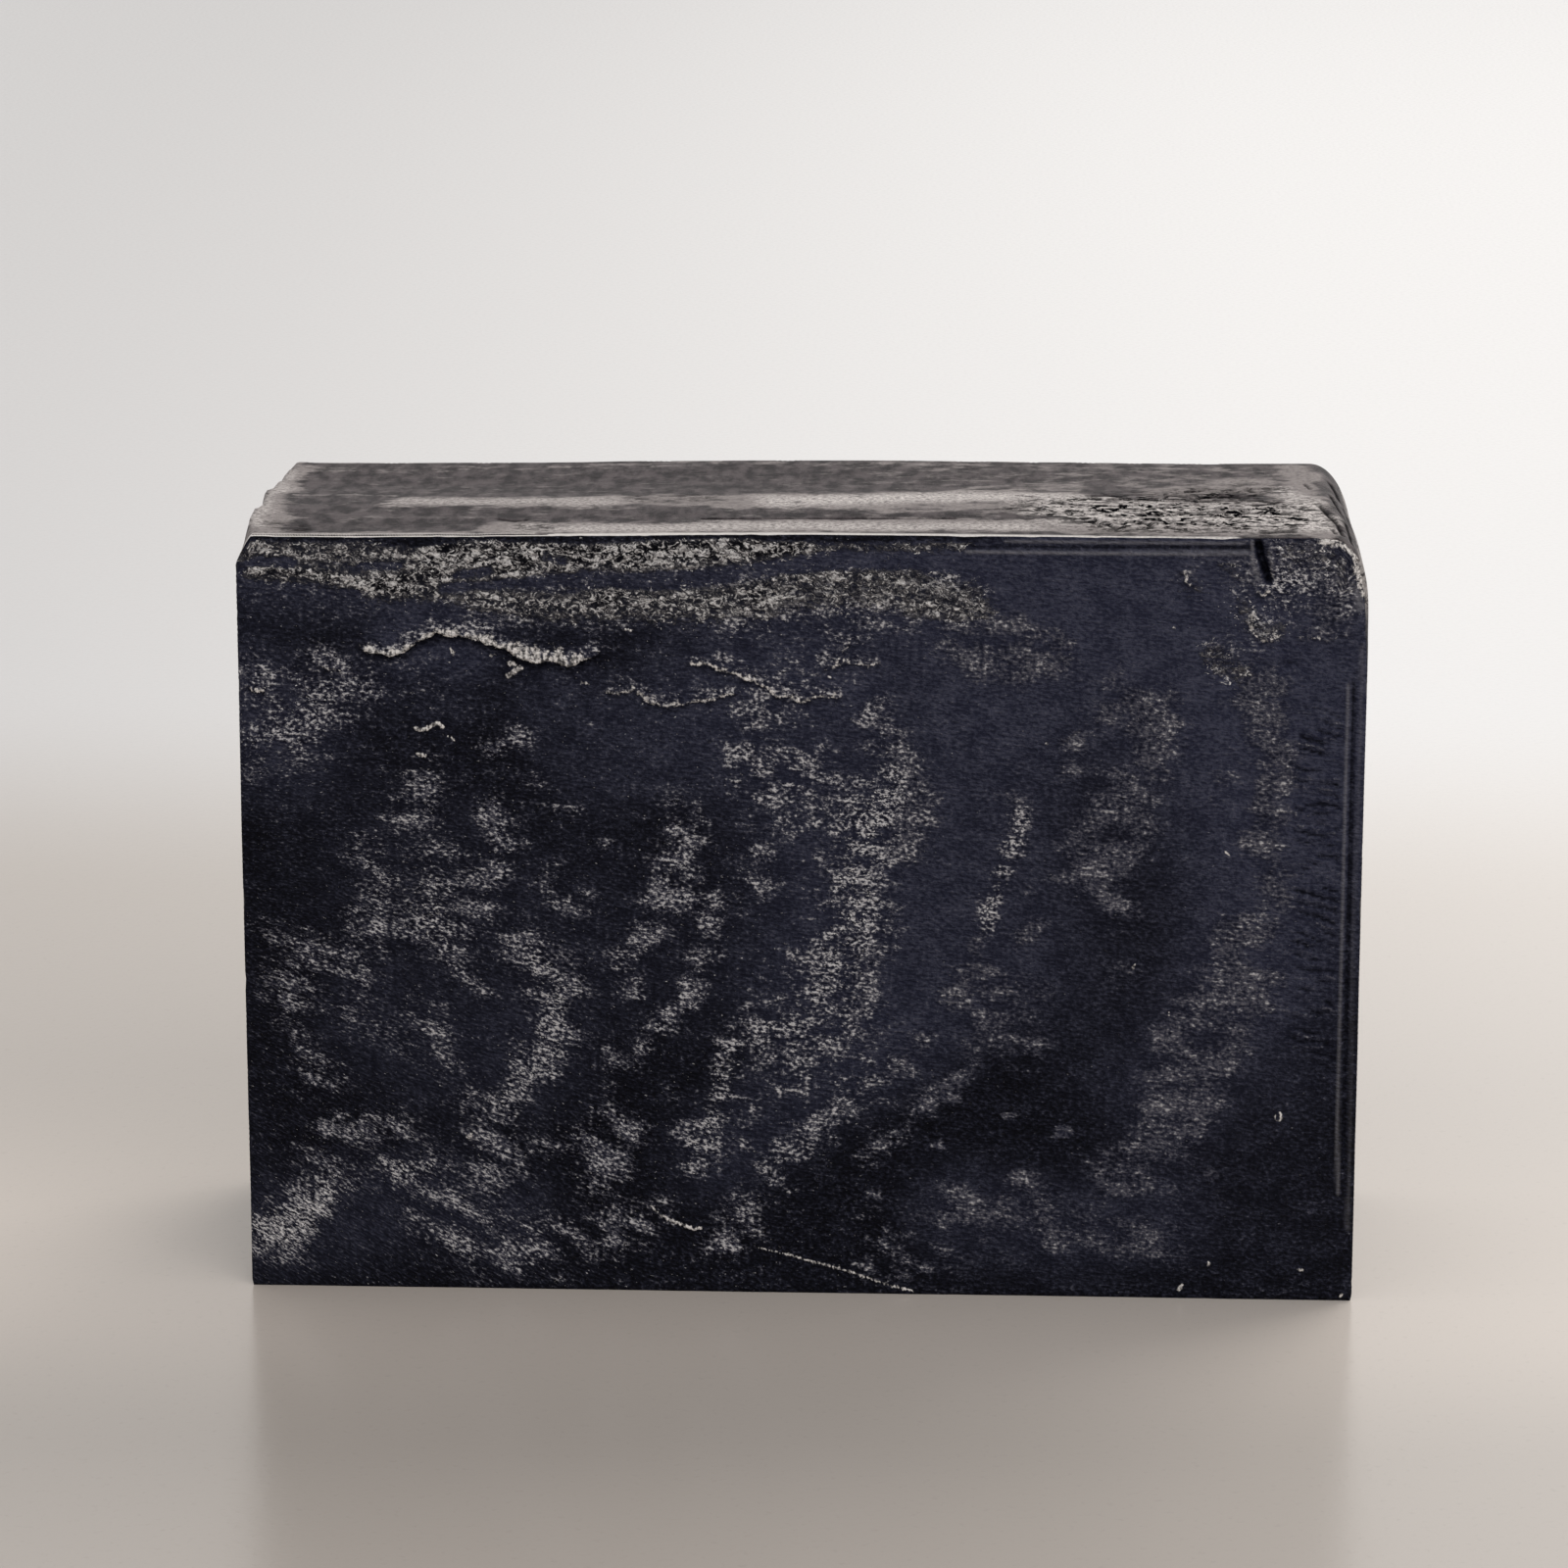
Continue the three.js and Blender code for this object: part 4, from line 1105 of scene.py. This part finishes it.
def cut_face(name):
    """Wire-cut charcoal soap: near-black navy with granular bloom, a crumbly crust and torn flakes."""
    s = Shader(name)
    bloom, crust, torn, haze, spark, line = (s.field(field) for field in FIELD_NAMES)
    dashes = s.noise(s.marks(1.3, 4.6), 3.0, 0.65)
    grain = s.noise(s.marks(2.3, 3.6), 3.0, 0.7)
    dusting = s.noise(s.marks(2.7, 3.6), 3.0, 0.60)
    density, bloomed = bloomed_soap(s, (bloom, haze, spark), (dashes, grain, dusting))
    lumps, crusty, crusted = crumbly(s, crust, grain, bloomed)
    flaked = torn_flakes(s, torn, grain, crusted)
    # painted highlights on the ridges, the edges and the notch's rims
    colour = s.mix(s.times(line, s.step(dashes, 0.3, 0.6, 0.5, 1.0)), flaked, HIGHLIGHT_COLOUR)

    chalky = s.most(s.most(density, crusty), torn)
    roughness = s.step(chalky, 0.0, 0.8, 0.50, 0.85)
    heaped = s.times(lumps, s.times(crusty, 3.0))
    relief = s.sum(dusting, s.times(dashes, 1.2), heaped)
    normal = s.bump(relief, 0.26, 0.9)
    return s.finish(0.07, Base_Color=colour, Roughness=roughness, Normal=normal)


def bloomed_soap(s, shares, noises):
    """Dark soap under haze and bloom: how dense the bloom is, and the colour."""
    bloom, haze, spark = shares
    dashes, grain, dusting = noises
    clouds = s.noise(s.marks(0.40, 0.55), 6.0, 0.70)
    drifts = s.noise(s.marks(0.42, 0.55), 3.0, 0.58)
    clumps = s.step(s.noise(s.marks(0.8, 1.1), 3.0, 0.6), 0.56, 0.72)
    stirred = s.sum(s.centred(clouds, 1.0), s.centred(dashes, 0.7))
    ragged = s.times(s.sum(s.centred(drifts, 2.4), s.centred(clouds, 1.0)), s.math("POWER", bloom, 0.55))
    strewn = s.times(clumps, s.times(spark, 0.42))
    density = s.step(s.sum(bloom, ragged, strewn), 0.05, 0.92)

    glitter = s.times(s.centred(dusting, 1.0), s.step(spark, 0.0, 1.0, 1.25, 3.8))
    level = s.sum(s.step(density, 0.0, 1.0, 0.42, 0.58), s.times(spark, 0.10), glitter, stirred)
    navy = s.tones(s.sum(stirred, s.centred(dusting, 1.6), s.step(haze, 0.0, 1.0, 0.17, 0.42)))
    shades = s.sum(s.centred(clouds, 0.5), s.centred(dashes, 0.5), s.centred(dusting, 0.5))
    veil = s.mix(s.step(shades, -0.12, 0.12), HAZE_DARK, HAZE_LIGHT)
    share = s.step(s.sum(density, s.centred(dusting, 0.8)), 0.03, 1.0)
    dusty = s.mix(share, s.mix(haze, navy, veil), s.tones(level))

    # white flecks: pale crystals, brighter where painted glints stand in for sparkle
    hot = s.times(spark, s.step(density, 0.0, 1.0, 0.35, 1.0))
    specks = s.step(s.sum(grain, s.times(hot, 0.16)), 0.69, 0.77)
    return density, s.mix(specks, dusty, s.mix(spark, SPECK_DIM, SPECK_BRIGHT))


def crumbly(s, crust, grain, bloomed):
    """The granular crust over the bloomed soap: its lumps, its ragged share and the colour, with painted
    light and shade on its lumps.
    """
    crumb = s.noise(s.marks(2.1, 2.7), 3.0, 0.66, 1.3)
    blotch = s.centred(s.noise(s.marks(0.6, 1.1), 2.0, 0.6), 0.45)
    lumps = s.sum(crumb, blotch)
    gap = s.mix(s.step(crust, 0.75, 1.0), CRUMB_GAP, CRUMB_HOLE_SHADE)
    shade = s.mix(s.step(lumps, 0.42, 0.54), gap, CRUMB_SHADE)
    top = s.mix(s.step(grain, 0.38, 0.56), CRUMB_GREY, CRUMB_WHITE)
    soft = s.noise(s.marks(1.5, 2.2), 4.0, 0.65)
    crusty = s.step(s.sum(crust, s.centred(soft, 1.6)), 0.20, 0.80)
    thinned = s.sum(lumps, s.step(crust, 0.0, 1.0, -0.15, 0.0))
    lit = s.times(s.step(thinned, 0.50, 0.575), s.step(crust, 0.0, 0.15))
    return lumps, crusty, s.mix(lit, s.mix(crusty, bloomed, shade), top)


def torn_flakes(s, torn, grain, crusted):
    """Pale, frayed soap where a flake was torn up."""
    threads = s.noise(s.marks(3.6, 1.6), 2.0, 0.6)
    frayed = s.sum(s.times(threads, 0.5), s.times(grain, 0.5))
    flake = s.mix(s.step(frayed, 0.42, 0.58), FLAKE_DARK, FLAKE_PALE)
    torn_off = s.step(s.sum(torn, s.centred(frayed, 2.4)), 0.25, 0.70)
    return s.mix(s.times(torn_off, s.step(torn, 0.0, 0.3)), crusted, flake)


def open_face(name):
    """The loaf's open face: a satin ash film over dark soap, with streaks, pits and crinkles."""
    s = Shader(name)
    film, pitted, cracks, ash, _, line = (s.field(field) for field in FIELD_NAMES)
    cloudy = s.noise(s.marks(0.40, 0.9), 7.0, 0.70)
    fine = s.noise(s.marks(2.4, 3.9), 4.0, 0.70)
    smears = s.noise(s.marks(0.75, 0.38), 4.0, 0.62)
    cover = s.step(s.sum(film, s.centred(cloudy, 3.4)), 0.15, 0.80)
    flecked = s.times(cover, s.step(fine, 0.38, 0.56, 0.52, 1.0))
    soap = s.mix(s.step(smears, 0.38, 0.64), SOAP_DARK, SOAP_SMEARED)
    white = s.times(ash, s.step(fine, 0.42, 0.58, 0.25, 1.0))
    dust = s.mix(white, ASH_THIN, ASH_THICK)
    ashy = s.mix(flecked, soap, dust)
    holes = s.step(s.noise(s.marks(0.62, 1.6), 3.0, 0.6, 1.2), 0.522, 0.550)
    pits = s.times(pitted, holes)
    broken = s.most(pits, cracks)
    # painted highlight along the front rim
    rim_highlighted = s.mix(line, ashy, RIM_HIGHLIGHT_COLOUR)
    # pits and cracks: dark soap with painted shade in them
    colour = s.mix(broken, rim_highlighted, TOP_PIT)
    roughness = s.step(flecked, 0.0, 1.0, 0.45, 0.65)
    grainy = s.sum(s.times(fine, 0.7), s.times(cloudy, 0.9))
    relief = s.less(grainy, s.times(pits, 1.5))
    normal = s.bump(relief, 0.13, 0.65)
    specular = s.step(broken, 0.0, 1.0, 0.07, 0.0)
    return s.finish(specular, Base_Color=colour, Roughness=roughness, Normal=normal)


def moulded_side(name):
    """The sides that set against the mould: smooth dark soap under a thin patchy film."""
    s = Shader(name)
    film, pinholes, worn, _, _, _ = (s.field(field) for field in FIELD_NAMES)
    cloudy = s.noise(s.marks(0.5, 0.3), 5.0, 0.65)
    fine = s.noise(s.marks(3.5, 3.0), 3.0, 0.65)
    veil = s.times(film, s.step(cloudy, 0.38, 0.60, 0.15, 1.0))
    flecked = s.times(s.most(veil, worn), s.step(fine, 0.36, 0.60, 0.45, 1.0))
    soap = s.mix(s.step(fine, 0.4, 0.65), SIDE_DARK, SIDE_LIGHT)
    ash = s.mix(worn, SIDE_ASH, SIDE_THICK_ASH)
    ashy = s.mix(flecked, soap, ash)
    scallops = s.step(s.noise(s.marks(0.40, 1.5), 3.0, 0.6, 0.9), 0.55, 0.60, 0.0, 0.9)
    broken = s.most(pinholes, s.times(worn, scallops))
    # pinholes and scallops: dark soap with painted shade in them
    colour = s.mix(broken, ashy, SIDE_PIT)
    roughness = s.step(flecked, 0.0, 1.0, 0.42, 0.65)
    relief = s.less(s.sum(fine, cloudy), broken)
    normal = s.bump(relief, 0.16, 0.7)
    return s.finish(0.14, Base_Color=colour, Roughness=roughness, Normal=normal)


def counter(name):
    """A pale satin counter with a faint grain, lighter far behind the bar, with painted light and shade in
    its colour.
    """
    s = Shader(name)
    place = s.node("ShaderNodeNewGeometry", "Position")
    y = s.node("ShaderNodeSeparateXYZ", "Y", Vector=place)
    x = s.node("ShaderNodeSeparateXYZ", "X", Vector=place)
    scaled = s.node("ShaderNodeMapping", 0, Vector=place, Scale=[GRAINS_PER_METRE] * 3)
    speckle = s.noise(scaled, 3.0, 0.6)
    # painted light and shade: lighter just before the bar and to the right, darker further in front
    close = s.mix(s.step(y, *NEAR_FLOOR), FLOOR_MID, FLOOR_LIT_NEAR)
    near = s.mix(s.step(y, *FRONT_FLOOR), close, FLOOR_SHADED_FRONT)
    right = s.step(s.sum(x, s.times(y, 0.5)), -0.08, 0.33)
    lit_to_right = s.mix(right, near, FLOOR_LIT_RIGHT)
    wall = s.mix(s.step(x, *WALL_SPAN), WALL_LEFT, WALL_LIT_RIGHT)
    plain = s.mix(s.step(y, *FAR_FLOOR), lit_to_right, wall)
    colour = s.mix(s.step(speckle, 0.55, 0.75, 0.0, 0.08), plain, FLOOR_GRAIN)
    roughness = s.step(speckle, 0.3, 0.7, 0.18, 0.26)
    normal = s.bump(speckle, 0.1, 0.12)
    return s.finish(0.50, Base_Color=colour, Roughness=roughness, Normal=normal)


# ---------------------------------------------------------------- the studio


def placed(name, data, location=(0, 0, 0), turn=(0, 0, 0)):
    """A new object in the scene."""
    made = bpy.data.objects.new(name, data)
    made.location, made.rotation_euler = location, turn
    bpy.context.collection.objects.link(made)
    return made


def floor():
    """A large level floor just under the bar."""
    mesh = bpy.data.meshes.new("studio_floor")
    signs = ((-1, -1), (1, -1), (1, 1), (-1, 1))
    corners = [(x * FLOOR_SPAN, y * FLOOR_SPAN, -FLOOR_GAP) for x, y in signs]
    mesh.from_pydata(corners, [], [(0, 1, 2, 3)])
    mesh.materials.append(counter("counter"))
    return placed("studio_floor", mesh)


def softbox(name, place, size, power, colour):
    """A square area light that faces the bar."""
    data = bpy.data.lights.new(name, "AREA")
    data.shape, data.size, data.energy, data.color = "SQUARE", size, power, colour
    placed(name, data, place, (Vector(LIT_AT) - Vector(place)).to_track_quat("-Z", "Y").to_euler())


def room():
    """Light from all round: a bright wall behind the bar and to its right, and a dimmer room in front."""
    world = bpy.data.worlds.new("soft_room")
    world.use_nodes = True
    tree = world.node_tree
    background = tree.nodes["Background"]
    coords = tree.nodes.new("ShaderNodeTexCoord")
    turn = tree.nodes.new("ShaderNodeVectorMath")
    turn.operation = "DOT_PRODUCT"
    turn.inputs[1].default_value = BRIGHT_SIDE
    ramp = tree.nodes.new("ShaderNodeValToRGB")
    ramp.color_ramp.interpolation = "EASE"
    spread = tree.nodes.new("ShaderNodeMapRange")
    spread.inputs["From Min"].default_value = -1.0
    tree.links.new(coords.outputs["Generated"], turn.inputs[0])
    tree.links.new(turn.outputs["Value"], spread.inputs["Value"])
    tree.links.new(spread.outputs["Result"], ramp.inputs["Fac"])
    tree.links.new(ramp.outputs["Color"], background.inputs["Color"])
    ramp.color_ramp.elements[0].color = ROOM_DIM
    ramp.color_ramp.elements[1].color = ROOM_BRIGHT
    background.inputs["Strength"].default_value = ROOM_STRENGTH
    bpy.context.scene.world = world


def camera():
    """A short telephoto view from a little above and just right of centre."""
    data = bpy.data.cameras.new("view")
    data.lens, data.sensor_width = LENS_MM, SENSOR_MM
    data.clip_start, data.clip_end = 0.01, 20
    turn = (math.radians(90 - CAMERA_DOWN), 0, math.radians(CAMERA_LEFT))
    bpy.context.scene.camera = placed("view", data, CAMERA_AT, turn)


def soap():
    """The detailed bar, in place of its CAD node."""
    mesh = bar_mesh()
    for material in (cut_face("cut_soap"), open_face("open_soap"), moulded_side("moulded_soap")):
        mesh.materials.append(material)
    made = placed("charcoal_soap_bar", mesh)
    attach(made, "root")
    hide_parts(NODE)


soap()
floor()
room()
softbox("key", KEY_AT, KEY_SIZE, KEY_POWER, KEY_COLOUR)
softbox("fill", FILL_AT, FILL_SIZE, FILL_POWER, FILL_COLOUR)
camera()
bpy.context.scene.view_settings.view_transform = "Standard"
